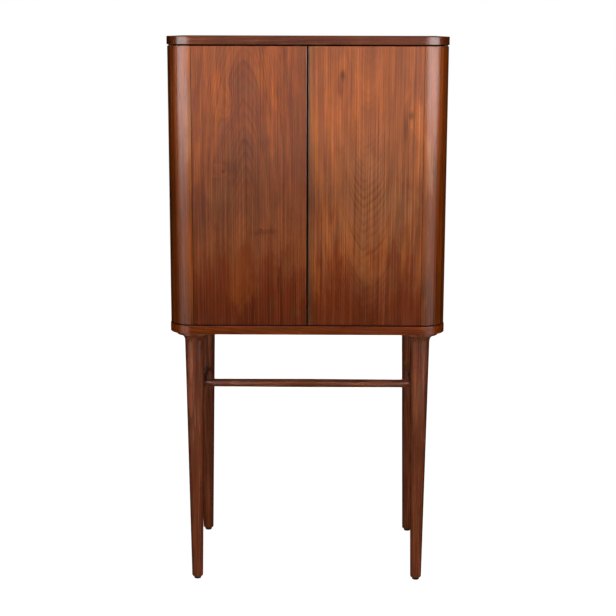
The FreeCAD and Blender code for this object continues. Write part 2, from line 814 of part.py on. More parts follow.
def make_door_plates():
    """The two hinge plates let into the ends of the door, one solid each."""
    plates = []
    plate_end = f"({pivot_y} - Sizes.door_plate_length)"
    levels = (("foot", door_bottom), ("head", f"({door_top} - Sizes.hinge_plate_thickness)"))
    for word, level in levels:
        body = new_body(f"door_plate_{word}")
        outline = new_sketch(body, "outline", "XY_Plane", level)
        shrink = "(Sizes.door_plate_radius - Sizes.glue_clearance)"
        draw(outline, slot_along_y(pivot_x, plate_end, pivot_y, shrink))
        draw_circle(outline, pivot_x, pivot_y, "(Sizes.pivot_pin_radius + Sizes.running_fit)")
        for index in range(2):
            screw_y = f"({pivot_y} - Sizes.door_screw_offset - {index} * Sizes.door_screw_spacing)"
            draw_circle(outline, pivot_x, screw_y, "Sizes.hinge_screw_radius")
        pad(body, outline, "Sizes.hinge_plate_thickness")
        plates.append(body)
    return keep(group("door_right_hinge_plates", plates), "door_right_hinge_plates")


def make_case_plates():
    """Knife-hinge plates let into the slabs, each with its pin riveted in."""
    inner_end = f"({pivot_x} - Sizes.case_plate_length)"
    shrink = "(Sizes.case_plate_radius - Sizes.glue_clearance)"
    pin_length = "(Sizes.door_gap + Sizes.hinge_plate_thickness + Sizes.pivot_pin_depth" \
                 " - Sizes.pivot_pin_end_play)"
    ends = (("base", f"({base_top} - Sizes.hinge_plate_thickness)", base_top),
            ("top", top_underside, f"({top_underside} - {pin_length})"))
    for word, plate_level, pin_level in ends:
        right = new_body(f"{word}_plate_right")
        outline = new_sketch(right, "outline", "XY_Plane", plate_level)
        draw(outline, slot_along_x(inner_end, pivot_x, pivot_y, shrink))
        for index in range(2):
            screw_x = f"({pivot_x} - Sizes.case_screw_offset - {index} * Sizes.case_screw_spacing)"
            draw_circle(outline, screw_x, pivot_y, "Sizes.hinge_screw_radius")
        pad(right, outline, "Sizes.hinge_plate_thickness")
        pin = new_sketch(right, "pin", "XY_Plane", pin_level)
        draw_circle(pin, pivot_x, pivot_y, "Sizes.pivot_pin_radius")
        pad(right, pin, pin_length)
        left = mirrored(f"{word}_plate_left", right)
        label = f"{word}_hinge_plates"
        keep(group(label, [right, left]), label)


def make_hinge_washers():
    """Rings on the four pins that fill the gap between door and slab."""
    washers = []
    thickness = "(Sizes.door_gap - 2 * Sizes.washer_play)"
    for word, level in (("foot", base_top), ("head", door_top)):
        for hand, side in (("left", -1), ("right", 1)):
            name = f"washer_{word}_{hand}"
            start = f"({level} + Sizes.washer_play)"
            x = f"({side} * {pivot_x})"
            disc = rod(name + "_disc", "Sizes.washer_radius", thickness, x, pivot_y, start)
            hole = rod(name + "_hole", "Sizes.pivot_pin_radius + Sizes.running_fit",
                       "Sizes.door_gap", x, pivot_y, start)
            washers.append(cut(name, disc, [hole]))
    keep(group("hinge_washers", washers), "hinge_washers")


tray_near = "(Sizes.center_gap / 2 + Sizes.tray_side_margin)"
tray_far = f"({corner_x} - Sizes.tray_corner_margin)"
tray_front = f"({door_inner} + Sizes.tray_depth)"
tray_rail_y = f"({tray_front} - Sizes.tray_rail_inset)"
tray_rail_z = "(Sizes.tray_level + Sizes.tray_rail_rise)"


def make_door_tray():
    """Tray on the inside of the door: a floor between two ends with a rounded corner."""
    body = new_body("tray_blank")
    profile = new_sketch(body, "profile", "YZ_Plane", tray_near)
    top = "(Sizes.tray_level + Sizes.tray_height)"
    draw(profile, [
        (door_inner, "Sizes.tray_level"),
        (tray_front, "Sizes.tray_level"),
        (tray_front, f"({top} - Sizes.tray_corner_round)", "Sizes.tray_corner_round", "ccw"),
        (f"({tray_front} - Sizes.tray_corner_round)", top),
        (door_inner, top),
    ])
    pad(body, profile, f"{tray_far} - {tray_near}")
    well = block("tray_well",
                 (f"({tray_near} + Sizes.tray_board)", f"({tray_far} - Sizes.tray_board)"),
                 (f"({door_inner} - {past})", f"({tray_front} + {past})"),
                 ("(Sizes.tray_level + Sizes.tray_board)", f"({top} + {past})"))
    seat_length = "Sizes.tray_rail_seat"
    seat_radius = "Sizes.tray_rail_radius + Sizes.glue_clearance"
    near_seat = rod("tray_near_seat", seat_radius, seat_length,
                    f"({tray_near} + Sizes.tray_board)", tray_rail_y, tray_rail_z, "-X")
    far_seat = rod("tray_far_seat", seat_radius, seat_length,
                   f"({tray_far} - Sizes.tray_board)", tray_rail_y, tray_rail_z, "X")
    tray = cut("door_right_tray", body, [fuse("tray_cuts", [well, near_seat, far_seat])])
    return keep(tray, "door_right_tray")


def make_tray_rail():
    into = "(Sizes.tray_board - Sizes.tray_rail_seat + Sizes.glue_clearance)"
    start = f"({tray_near} + {into})"
    rail = rod("door_right_tray_rail", "Sizes.tray_rail_radius",
               f"{tray_far} - {into} - {start}", start, tray_rail_y, tray_rail_z, "X")
    return keep(rail, "door_right_tray_rail")


latch_x = "(Sizes.latch_spacing / 2)"
plunger_z = f"({top_underside} - Sizes.latch_drop / 2)"
plunger_tip = f"({door_inner} + Sizes.strike_thickness + Sizes.strike_gap)"
latch_front = f"({door_inner} + Sizes.latch_stand_off)"


def make_strike():
    strike = block("door_right_strike",
                   (f"({latch_x} - Sizes.strike_width / 2)",
                    f"({latch_x} + Sizes.strike_width / 2)"),
                   (door_inner, f"({door_inner} + Sizes.strike_thickness)"),
                   (f"({door_top} - Sizes.strike_height)", door_top))
    return keep(strike, "door_right_strike")


def make_doors():
    right_hand = [make_door_panel(), make_door_corner(), make_door_plates(),
                  make_door_tray(), make_tray_rail(), make_strike()]
    for source in right_hand:
        label = source.Label.replace("right", "left")
        keep(mirrored(label, source), label)


def make_latches():
    """Touch latches under the top: pressing the door in by the plunger's travel frees it."""
    housing = block("latch_block",
                    (f"({latch_x} - Sizes.latch_width / 2)",
                     f"({latch_x} + Sizes.latch_width / 2)"),
                    (latch_front, f"({latch_front} + Sizes.latch_length)"),
                    (f"({top_underside} - Sizes.latch_drop)", top_underside))
    bore = rod("latch_bore", "Sizes.plunger_radius + Sizes.running_fit",
               f"{plunger_tip} + Sizes.plunger_length + 2 * Sizes.plunger_press - {latch_front}",
               latch_x, latch_front, plunger_z, "Y")
    right = keep(cut("latch_housing_right", housing, [bore]), "latch_housing_right")
    keep(mirrored("latch_housing_left", right), "latch_housing_left")
    for word, side in (("left", -1), ("right", 1)):
        label = f"latch_plunger_{word}"
        keep(rod(label, "Sizes.plunger_radius", "Sizes.plunger_length",
                 f"{side} * {latch_x}", plunger_tip, plunger_z, "Y"), label)


# The fold-out leaf.

leaf_corner = f"({door_inner_radius} - Sizes.leaf_clearance)"
leaf_half = f"({corner_x} + {leaf_corner})"
leaf_back = f"({leaf_axis_y} + Sizes.leaf_edge_gap)"
leaf_far = f"(2 * {leaf_axis_y} - {door_inner} - Sizes.leaf_clearance)"
leaf_low = "(Sizes.counter_height + Sizes.leaf_rest_gap)"
leaf_high = f"({leaf_low} + Sizes.leaf_thickness)"


def make_leaf():
    """Leaf folded back on the counter. Folded out, its corners lie inside the doors' bend."""
    body = new_body("leaf_board")
    outline = new_sketch(body, "outline", "XY_Plane", leaf_low)
    grip_radius = "((Sizes.grip_half_width ^ 2 + Sizes.grip_depth ^ 2)" \
                  " / (2 * Sizes.grip_depth))"
    draw(outline, [
        (f"-{leaf_half}", leaf_back),
        (leaf_half, leaf_back),
        (leaf_half, f"({leaf_far} - {leaf_corner})", leaf_corner, "ccw"),
        (f"({leaf_half} - {leaf_corner})", leaf_far),
        ("Sizes.grip_half_width", leaf_far, grip_radius, "cw"),
        ("-Sizes.grip_half_width", leaf_far),
        (f"({leaf_corner} - {leaf_half})", leaf_far, leaf_corner, "ccw"),
        (f"-{leaf_half}", f"({leaf_far} - {leaf_corner})"),
    ])
    board = pad(body, outline, "Sizes.leaf_thickness")
    hinge_edge = number(leaf_back)

    def runs_round_the_rim(edge):
        box = edge.BoundBox
        on_hinge_edge = box.YMax < hinge_edge + TOUCH
        return box.ZLength < TOUCH and not on_hinge_edge

    round_edges(body, board, "Sizes.leaf_edge_round", runs_round_the_rim)
    tools = hinge_mortises("fold_out_leaf",
                           f"({leaf_low} + Sizes.flap_thickness)", f"({leaf_low} - {past})")
    keep(cut("fold_out_leaf", body, [fuse("fold_out_leaf_mortises", tools)]), "fold_out_leaf")


def flap_screw_holes(name, x, y, under):
    """The two screw holes through a flap that starts at a level."""
    return [rod(f"{name}_screw_{index}", "Sizes.hinge_screw_radius",
                f"Sizes.flap_thickness + 2 * {past}",
                f"({x} + {side} * Sizes.flap_screw_spacing / 2)", y, f"({under} - {past})")
            for index, side in enumerate((-1, 1))]


def make_leaf_hinges():
    """Flap hinges with their barrel at the surface: one middle knuckle on the counter's
    flap, two outer knuckles and the riveted pin on the leaf's flap."""
    knuckle = "((Sizes.barrel_length - 2 * Sizes.knuckle_gap) / 3)"
    plate_start = f"({leaf_axis_y} + Sizes.barrel_radius + Sizes.barrel_clearance)"
    plate_end = f"({leaf_axis_y} + Sizes.flap_reach)"
    screw_y = f"({leaf_axis_y} + Sizes.flap_screw_setback)"
    counter_flaps = []
    leaf_flaps = []
    for word, x in leaf_hinges:
        low = f"({x} - {hinge_half})"
        high = f"({x} + {hinge_half})"
        middle = (f"({x} - {knuckle} / 2)", f"({x} + {knuckle} / 2)")
        flap_top = "Sizes.counter_height"
        flap_bottom = f"({flap_top} - Sizes.flap_thickness)"
        name = f"counter_flap_{word}"
        plate = block(name + "_plate", (low, high), (plate_start, plate_end),
                      (flap_bottom, flap_top))
        tongue = block(name + "_tongue", middle, (leaf_axis_y, plate_start),
                       (flap_bottom, flap_top))
        barrel = rod(name + "_barrel", "Sizes.barrel_radius", knuckle,
                     middle[0], leaf_axis_y, leaf_axis_z, "X")
        bore = rod(name + "_bore", "Sizes.leaf_pin_radius + Sizes.running_fit",
                   "Sizes.barrel_length", low, leaf_axis_y, leaf_axis_z, "X")
        holes = flap_screw_holes(name, x, screw_y, flap_bottom)
        counter_flaps.append(cut(name, fuse(name + "_whole", [plate, tongue, barrel]),
                                 [bore] + holes))

        name = f"leaf_flap_{word}"
        under = leaf_low
        over = f"({leaf_low} + Sizes.flap_thickness)"
        parts = [block(name + "_plate", (low, high), (plate_start, plate_end), (under, over)),
                 rod(name + "_pin", "Sizes.leaf_pin_radius", "Sizes.barrel_length",
                     low, leaf_axis_y, leaf_axis_z, "X")]
        for end, start in (("low", low), ("high", f"({high} - {knuckle})")):
            stop = f"({start} + {knuckle})"
            parts.append(block(f"{name}_tongue_{end}", (start, stop),
                               (leaf_axis_y, plate_start), (under, over)))
            parts.append(rod(f"{name}_barrel_{end}", "Sizes.barrel_radius", knuckle,
                             start, leaf_axis_y, leaf_axis_z, "X"))
        holes = flap_screw_holes(name, x, screw_y, under)
        leaf_flaps.append(cut(name, fuse(name + "_whole", parts), holes))
    keep(group("counter_hinge_flaps", counter_flaps), "counter_hinge_flaps")
    keep(group("leaf_hinge_flaps", leaf_flaps), "leaf_hinge_flaps")


# The lopers that carry the leaf.

cavity_half = "(Sizes.loper_head_width / 2 + Sizes.loper_clearance)"
mouth_half = "(Sizes.loper_width / 2 + Sizes.loper_clearance)"
loper_x = f"({side_inner} - Sizes.guide_wall - {cavity_half})"
loper_top = f"({counter_under} - Sizes.loper_clearance)"
loper_bottom = f"({loper_top} - Sizes.loper_thickness)"
guide_floor = f"({loper_bottom} - Sizes.loper_clearance)"
guide_bottom = f"({guide_floor} - Sizes.guide_wall)"
mouth_end = f"({counter_front} + Sizes.guide_mouth)"
guide_back = f"({counter_front} + Sizes.loper_length + Sizes.guide_wall)"


def make_loper_guides():
    """Wooden channels under the counter. The narrow mouth stops the wide end of the loper."""
    outer_half = f"({cavity_half} + Sizes.guide_wall)"
    blank = block("guide_blank", (f"({loper_x} - {outer_half})", f"({loper_x} + {outer_half})"),
                  (counter_front, guide_back), (guide_bottom, counter_under))
    cavity = block("guide_cavity", (f"({loper_x} - {cavity_half})", f"({loper_x} + {cavity_half})"),
                   (mouth_end, f"({guide_back} + {past})"),
                   (guide_floor, f"({counter_under} + {past})"))
    mouth = block("guide_mouth", (f"({loper_x} - {mouth_half})", f"({loper_x} + {mouth_half})"),
                  (f"({counter_front} - {past})", f"({mouth_end} + {past})"),
                  (guide_floor, f"({counter_under} + {past})"))
    right = cut("loper_guide_right", blank, [fuse("guide_cuts", [cavity, mouth])])
    keep(right, "loper_guide_right")
    keep(mirrored("loper_guide_left", right), "loper_guide_left")


def make_lopers():
    """Bearers that pull out under the leaf, wide behind the shoulder that stops them."""
    for word, side in (("left", -1), ("right", 1)):
        body = new_body(f"loper_{word}_bar")
        outline = new_sketch(body, "outline", "XY_Plane", loper_bottom)
        narrow = "(Sizes.loper_width / 2)"
        wide = "(Sizes.loper_head_width / 2)"
        shoulder = "(Sizes.guide_mouth + Sizes.loper_travel)"
        draw(outline, [
            (f"-{narrow}", "0"),
            (narrow, "0"),
            (narrow, shoulder),
            (wide, shoulder),
            (wide, "Sizes.loper_length"),
            (f"-{wide}", "Sizes.loper_length"),
            (f"-{wide}", shoulder),
            (f"-{narrow}", shoulder),
        ])
        pad(body, outline, "Sizes.loper_thickness")
        place(body, f"{side} * {loper_x}", counter_front)
        middle = f"(({loper_top} + {loper_bottom}) / 2)"
        shank_hole = rod(f"loper_{word}_knob_hole",
                         "Sizes.knob_shank_radius + Sizes.glue_clearance",
                         "Sizes.knob_shank_length", f"{side} * {loper_x}", counter_front,
                         middle, "Y")
        keep(cut(f"loper_{word}", body, [shank_hole]), f"loper_{word}")

        knob = new_body(f"loper_{word}_knob")
        profile = new_sketch(knob, "profile", "XZ_Plane")
        face = "(Sizes.knob_length - Sizes.knob_crown)"
        crown_radius = "((Sizes.knob_radius ^ 2 + Sizes.knob_crown ^ 2) / (2 * Sizes.knob_crown))"
        draw(profile, [
            ("0", "(Sizes.glue_clearance - Sizes.knob_shank_length)"),
            ("Sizes.knob_shank_radius", "(Sizes.glue_clearance - Sizes.knob_shank_length)"),
            ("Sizes.knob_shank_radius", "0"),
            ("Sizes.knob_neck_radius", "0"),
            ("Sizes.knob_neck_radius", "Sizes.knob_neck_length"),
            ("Sizes.knob_radius", f"({face} - Sizes.knob_rim)"),
            ("Sizes.knob_radius", face, crown_radius, "ccw"),
            ("0", "Sizes.knob_length"),
        ])
        revolve(knob, profile)
        place(knob, f"{side} * {loper_x}", counter_front, middle,
              FreeCAD.Rotation(FreeCAD.Vector(1, 0, 0), 90))
        keep(knob, f"loper_{word}_knob")


# The stand.

def leg_radius_at(level):
    """Radius of the straight taper at a height above the floor."""
    rise = f"(({level} - {leg_base}) / ({leg_flange_underside} - {leg_cove} - {leg_base}))"
    return f"(Sizes.leg_foot_radius + (Sizes.leg_neck_radius - Sizes.leg_foot_radius) * {rise})"


def turned_leg(name):
    """Straight taper, a cove that flares out to a round flange, and a softened foot."""
    body = new_body(name)
    profile = new_sketch(body, "profile", "XZ_Plane")
    foot = leg_base
    neck_level = f"({leg_flange_underside} - {leg_cove})"
    draw(profile, [
        ("0", foot),
        ("(Sizes.leg_foot_radius - Sizes.leg_foot_round)", foot, "Sizes.leg_foot_round", "ccw"),
        ("Sizes.leg_foot_radius", f"({foot} + Sizes.leg_foot_round)"),
        ("Sizes.leg_neck_radius", neck_level, leg_cove, "cw"),
        ("Sizes.leg_flange_radius", leg_flange_underside),
        ("Sizes.leg_flange_radius", "(Sizes.base_underside - Sizes.leg_edge_round)",
         "Sizes.leg_edge_round", "ccw"),
        ("(Sizes.leg_flange_radius - Sizes.leg_edge_round)", "Sizes.base_underside"),
        ("0", "Sizes.base_underside"),
    ])
    revolve(body, profile)
    drill(body, "bolt_bore", "Sizes.base_underside", "(Sizes.bolt_in_leg + Sizes.glue_clearance)",
          [("0", "0", "(Sizes.bolt_radius + Sizes.glue_clearance)")], False)
    drill(body, "glide_bore", foot, "(Sizes.glide_shank_length + Sizes.glue_clearance)",
          [("0", "0", "(Sizes.glide_shank_radius + Sizes.glue_clearance)")], True)
    return body


def make_legs():
    socket_radius = "Sizes.side_stretcher_end_radius + Sizes.glue_clearance"
    for hand, across in (("left", -1), ("right", 1)):
        for end, along, toward in (("front", -1, "Y"), ("rear", 1, "-Y")):
            label = f"leg_{end}_{hand}"
            body = turned_leg(label + "_turning")
            place(body, f"{across} * {leg_x}", f"{along} * {leg_y}")
            surface = leg_radius_at("Sizes.stretcher_height")
            start = f"({along} * ({leg_y} - {surface} + Sizes.stretcher_seat))"
            socket = rod(label + "_socket", socket_radius,
                         "Sizes.stretcher_seat + Sizes.leg_neck_radius",
                         f"{across} * {leg_x}", start, "Sizes.stretcher_height", toward)
            keep(cut(label, body, [socket]), label)


def make_stretchers():
    to_y = FreeCAD.Rotation(FreeCAD.Vector(1, 0, 0), -90)
    to_x = FreeCAD.Rotation(FreeCAD.Vector(0, 1, 0), 90)
    surface = leg_radius_at("Sizes.stretcher_height")
    reach = f"({leg_y} - {surface} + Sizes.stretcher_seat - Sizes.glue_clearance)"
    shown = f"({leg_y} - {surface})"
    swell = "(Sizes.side_stretcher_radius - Sizes.side_stretcher_end_radius)"
    swell_radius = f"(({shown} ^ 2 + {swell} ^ 2) / (2 * {swell}))"
    end = "Sizes.side_stretcher_end_radius"
    for hand, across in (("left", -1), ("right", 1)):
        body = new_body(f"side_stretcher_{hand}_turning")
        profile = new_sketch(body, "profile", "XZ_Plane")
        draw(profile, [
            ("0", f"-{reach}"),
            (end, f"-{reach}"),
            (end, f"-{shown}", swell_radius, "ccw"),
            ("Sizes.side_stretcher_radius", "0", swell_radius, "ccw"),
            (end, shown),
            (end, reach),
            ("0", reach),
        ])
        revolve(body, profile)
        place(body, f"{across} * {leg_x}", "0", "Sizes.stretcher_height", to_y)
        toward = "X" if across < 0 else "-X"
        seat = "(Sizes.side_stretcher_radius - Sizes.cross_stretcher_seat)"
        socket = rod(f"side_stretcher_{hand}_socket",
                     "Sizes.cross_stretcher_end_radius + Sizes.glue_clearance",
                     "2 * Sizes.side_stretcher_radius",
                     f"({across} * ({leg_x} - {seat}))", "0",
                     "Sizes.stretcher_height", toward)
        keep(cut(f"side_stretcher_{hand}", body, [socket]), f"side_stretcher_{hand}")

    body = new_body("cross_stretcher")
    profile = new_sketch(body, "profile", "XZ_Plane")
    shoulder = f"({leg_x} - Sizes.side_stretcher_radius)"
    shown = f"({shoulder} - Sizes.cross_stretcher_nose)"
    reach = f"({shoulder} + Sizes.cross_stretcher_seat - Sizes.glue_clearance)"
    end = "Sizes.cross_stretcher_end_radius"
    wide = "Sizes.cross_stretcher_shoulder_radius"
    nose_drop = f"({wide} - {end})"
    nose = f"((Sizes.cross_stretcher_nose ^ 2 + {nose_drop} ^ 2) / (2 * {nose_drop}))"
    draw(profile, [
        ("0", f"-{reach}"),
        (end, f"-{reach}"),
        (end, f"-{shoulder}", nose, "ccw"),
        (wide, f"-{shown}"),
        ("Sizes.cross_stretcher_radius", "0"),
        (wide, shown, nose, "ccw"),
        (end, shoulder),
        (end, reach),
        ("0", reach),
    ])
    revolve(body, profile)
    place(body, "0", "0", "Sizes.stretcher_height", to_x)
    keep(body, "cross_stretcher")


def make_glides():
    glides = []
    for index, (x, y) in enumerate(leg_places()):
        body = new_body(f"glide_{index}")
        profile = new_sketch(body, "profile", "XZ_Plane")
        round_off = "Sizes.glide_edge_round"
        top = "(Sizes.glide_height + Sizes.glide_shank_length)"
        draw(profile, [
            ("0", "0"),
            (f"(Sizes.glide_radius - {round_off})", "0", round_off, "ccw"),
            ("Sizes.glide_radius", round_off),
            ("Sizes.glide_radius", "Sizes.glide_height"),
            ("Sizes.glide_shank_radius", "Sizes.glide_height"),
            ("Sizes.glide_shank_radius", top),
            ("0", top),
        ])
        revolve(body, profile)
        place(body, x, y)
        glides.append(body)
    keep(group("foot_glides", glides), "foot_glides")


def make_leg_bolts():
    """A hanger bolt in the top of each leg and the threaded insert that takes it."""
    bolts = []
    inserts = []
    for index, (x, y) in enumerate(leg_places()):
        bolts.append(rod(f"bolt_{index}", "Sizes.bolt_radius",
                         "Sizes.bolt_in_leg + Sizes.bolt_in_base", x, y,
                         "(Sizes.base_underside - Sizes.bolt_in_leg)"))
        sleeve = rod(f"insert_{index}_sleeve", "Sizes.insert_radius", "Sizes.insert_length",
                     x, y, "Sizes.base_underside")
        bore = rod(f"insert_{index}_bore", "Sizes.bolt_radius + Sizes.glue_clearance",
                   f"Sizes.insert_length + 2 * {past}", x, y,
                   f"(Sizes.base_underside - {past})")
        inserts.append(cut(f"insert_{index}", sleeve, [bore]))
    keep(group("hanger_bolts", bolts), "hanger_bolts")
    keep(group("threaded_inserts", inserts), "threaded_inserts")


make_slabs()
make_sides()
make_dowels()
make_back()
make_wall_brackets()
make_counter()
make_divider()
make_shelf()
make_shelf_pins()
make_bottle_rack()
make_stemware_rails()
make_case_plates()
make_hinge_washers()
make_doors()
make_latches()
make_leaf()
make_leaf_hinges()
make_loper_guides()
make_lopers()
make_legs()
make_stretchers()
make_glides()
make_leg_bolts()
doc.recompute()

# Nothing is written unless every object computed and every sub-part is a sound shape.
failed = [item.Name for item in doc.Objects
          if "Invalid" in item.State or "Error" in item.State]
if failed:
    raise RuntimeError("objects that did not compute: " + ", ".join(failed))
for piece in pieces:
    if piece.Shape.isNull() or not piece.Shape.isValid() or not piece.Shape.Solids:
        raise RuntimeError("no sound shape: " + piece.Label)
labels = [piece.Label for piece in pieces]
if len(set(labels)) != len(labels):
    raise RuntimeError("two sub-parts share a name")

os.makedirs("parts", exist_ok=True)
for piece in pieces:
    piece.Shape.exportStep(f"parts/{piece.Label}.step")
    box = piece.Shape.BoundBox
    print(f"{piece.Label:28s} {len(piece.Shape.Solids):2d} solids "
          f"x {box.XMin:8.2f} {box.XMax:8.2f}  y {box.YMin:8.2f} {box.YMax:8.2f}  "
          f"z {box.ZMin:8.2f} {box.ZMax:8.2f}  volume {piece.Shape.Volume:12.1f}")
print(len(pieces), "sub-parts")
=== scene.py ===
import math

import bmesh
import bpy
from mathutils import Euler, Matrix, Vector


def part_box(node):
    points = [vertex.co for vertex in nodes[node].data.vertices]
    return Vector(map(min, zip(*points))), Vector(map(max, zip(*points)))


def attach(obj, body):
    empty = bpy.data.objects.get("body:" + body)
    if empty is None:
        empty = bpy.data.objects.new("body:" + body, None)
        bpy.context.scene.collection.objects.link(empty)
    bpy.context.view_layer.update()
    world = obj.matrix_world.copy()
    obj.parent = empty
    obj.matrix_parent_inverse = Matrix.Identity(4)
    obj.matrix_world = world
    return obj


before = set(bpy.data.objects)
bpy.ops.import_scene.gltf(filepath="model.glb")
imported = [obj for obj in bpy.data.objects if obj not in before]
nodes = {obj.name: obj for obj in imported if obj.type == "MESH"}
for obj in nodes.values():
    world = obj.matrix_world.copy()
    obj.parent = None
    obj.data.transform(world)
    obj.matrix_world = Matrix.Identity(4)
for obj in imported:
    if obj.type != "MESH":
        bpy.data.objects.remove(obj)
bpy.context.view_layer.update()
print("frame loaded,", len(nodes), "nodes")

mm = 0.001      # the scene is in metres


def linear(hexColour):
    # sRGB hex to the linear values that the shaders take
    channels = [int(hexColour[i:i + 2], 16) / 255 for i in (1, 3, 5)]
    return (*(c / 12.92 if c <= 0.04045 else ((c + 0.055) / 1.055) ** 2.4 for c in channels), 1)


def addNode(tree, kind, inputs=None, **settings):
    # each input is a plain value, another node, or one of its outputs
    node = tree.nodes.new(kind)
    for name, value in settings.items():
        setattr(node, name, value)
    for socket, value in (inputs or {}).items():
        if isinstance(value, bpy.types.Node):
            value = value.outputs[0]
        if isinstance(value, bpy.types.NodeSocket):
            tree.links.new(value, node.inputs[socket])
        else:
            node.inputs[socket].default_value = value
    return node


def newMaterial(name):
    material = bpy.data.materials.new(name)
    material.use_nodes = True
    material.node_tree.nodes.clear()
    return material, material.node_tree


def paint(material, *nodeNames):
    for nodeName in nodeNames:
        for materialSlot in nodes[nodeName].material_slots:
            materialSlot.material = material


# Wood. Growth rings are drawn round a pith line that runs beside each board at a small tilt,
# so a board shows cathedral arches where its face runs close to the pith and stripes elsewhere.
walnut = {
    "early": "#934A25", "late": "#481D0E",      # soft wood between rings, and the dark ring line, also painted shade on the corners' outer edges
    "warm": "#AC5723", "cool": "#6C3625",       # orange and purplish bands that follow the rings
    "olive": "#7A4A26", "mottle": 0.3,          # greenish brown clouds, and how strongly they show
    "deep": "#7C2C08",                          # red brown, painted shade for patches low on a door
    "pore": "#35170A", "wornAndLit": "#B9794E",       # open pores, also the painted shadow of the door gaps; and a pale tone for lacquer rubbed thin, also painted light and highlights
    "edgeWear": 0.4, "edgeWidth": 1.2,          # share of the worn tone on an edge, and its mm
    "saturation": 1.0, "contrast": 0.26,        # contrast is that between light and dark fibres
    "ringWidth": 3.3, "ringDepth": 0.62,        # mm, and how strongly the ring lines show
    "waviness": 5,                              # mm that a ring wanders to each side
    "bandWidth": 17, "bandDepth": 0.5,          # mm; years of good and poor growth
    "figureAt": 0, "figureReach": 0,            # mm up the board, where the rings show most
    "heart": "#6A3824", "heartReach": 0,        # darker wood near the pith, out to so many mm
    "heartFade": (-9, 7),                       # mm from there, where the dark wood fades out
    "sapAt": 14, "sapHalf": 11,                 # mm; middle and half width of the bright band
    "fibre": 2.3, "fibreLength": 300,           # mm; real fibres are finer than a pixel
    "pores": 1.1, "poreLength": 17,             # mm; vessels of walnut are 0.2 mm wide
    "ior": 1.5, "roughness": 0.24,              # satin lacquer
    "grainRelief": 0.12,                        # mm that pores and fibres show through it
    "rubbed": 0,                                # roughness added where a level face is wiped often
    "stripe": None, "seam": None,               # strips up the board; x and half width in mm
    "knots": [],        # place, squeeze along z, then reach and push of the rings, and eye, in mm
    "patches": [],      # place, half width and half height in mm, a tone and its share
}


def partRings(tree, start, distance, knots):
    # rings part round a knot, and its eye is nearly black
    eyes = []
    for knot in knots:
        away = addNode(tree, "ShaderNodeVectorMath",
                       {0: start, 1: (1 / mm, 0, knot["squeeze"] / mm),
                        2: (-knot["x"], 0, -knot["z"] * knot["squeeze"])},
                       operation="MULTIPLY_ADD")
        apart = addNode(tree, "ShaderNodeVectorMath", {0: away},
                        operation="LENGTH").outputs["Value"]
        swell = addNode(tree, "ShaderNodeMapRange",
                        {"Value": apart, "From Min": 0, "From Max": knot["reach"],
                         "To Min": 1, "To Max": 0}, interpolation_type="SMOOTHERSTEP")
        distance = addNode(tree, "ShaderNodeMath", {0: swell, 1: knot["push"], 2: distance},
                           operation="MULTIPLY_ADD").outputs[0]
        eyes.append(addNode(tree, "ShaderNodeMapRange",
                            {"Value": apart, "From Min": 0, "From Max": knot["eye"],
                             "To Min": 0.7, "To Max": 0}, interpolation_type="SMOOTHSTEP"))
    return distance, eyes


def boardStrips(tree, start, look):
    # strips that run up the board: where they fade, in half widths, and how strong they are
    strips = {}
    for kind, inner, outer, most in (("stripe", 0.4, 1, 0.6), ("seam", 1, 2, 0.85)):
        if look[kind]:
            where = addNode(tree, "ShaderNodeSeparateXYZ", {0: start}).outputs["X"]
            offset = addNode(tree, "ShaderNodeMath", {0: where, 1: look[kind]["x"] * mm},
                             operation="SUBTRACT")
            aside = addNode(tree, "ShaderNodeMath", {0: offset}, operation="ABSOLUTE")
            half = look[kind]["half"] * mm
            strips[kind] = addNode(tree, "ShaderNodeMapRange",
                                   {"Value": aside, "From Min": half * inner,
                                    "From Max": half * outer, "To Min": most, "To Max": 0})
    return strips


def patchLayers(tree, start, cloud, look):
    # patches of another tone, with edges that the clouds fray
    fray = 2.2
    clouded = addNode(tree, "ShaderNodeVectorMath", {0: cloud, 1: (0.5, 0.5, 0.5)},
                      operation="SUBTRACT")
    layers = []
    for patch in look["patches"]:
        halfX, halfZ = patch["half"]
        reach = addNode(tree, "ShaderNodeVectorMath",
                        {0: start, 1: (1 / (halfX * mm), 0, 1 / (halfZ * mm)),
                         2: (-patch["x"] / halfX, 0, -patch["z"] / halfZ)},
                        operation="MULTIPLY_ADD")
        frayed = addNode(tree, "ShaderNodeVectorMath", {0: clouded, 1: (fray, 0, fray), 2: reach},
                         operation="MULTIPLY_ADD")
        fromMiddle = addNode(tree, "ShaderNodeVectorMath", {0: frayed},
                             operation="LENGTH").outputs["Value"]
        # full in the middle, and gone a little beyond the half size
        cover = addNode(tree, "ShaderNodeMapRange",
                        {"Value": fromMiddle, "From Min": 0.3, "From Max": 1.2,
                         "To Min": patch["amount"], "To Max": 0},
                        interpolation_type="SMOOTHSTEP")
        layers.append((cover, linear(look[patch["tone"]])))
    return layers


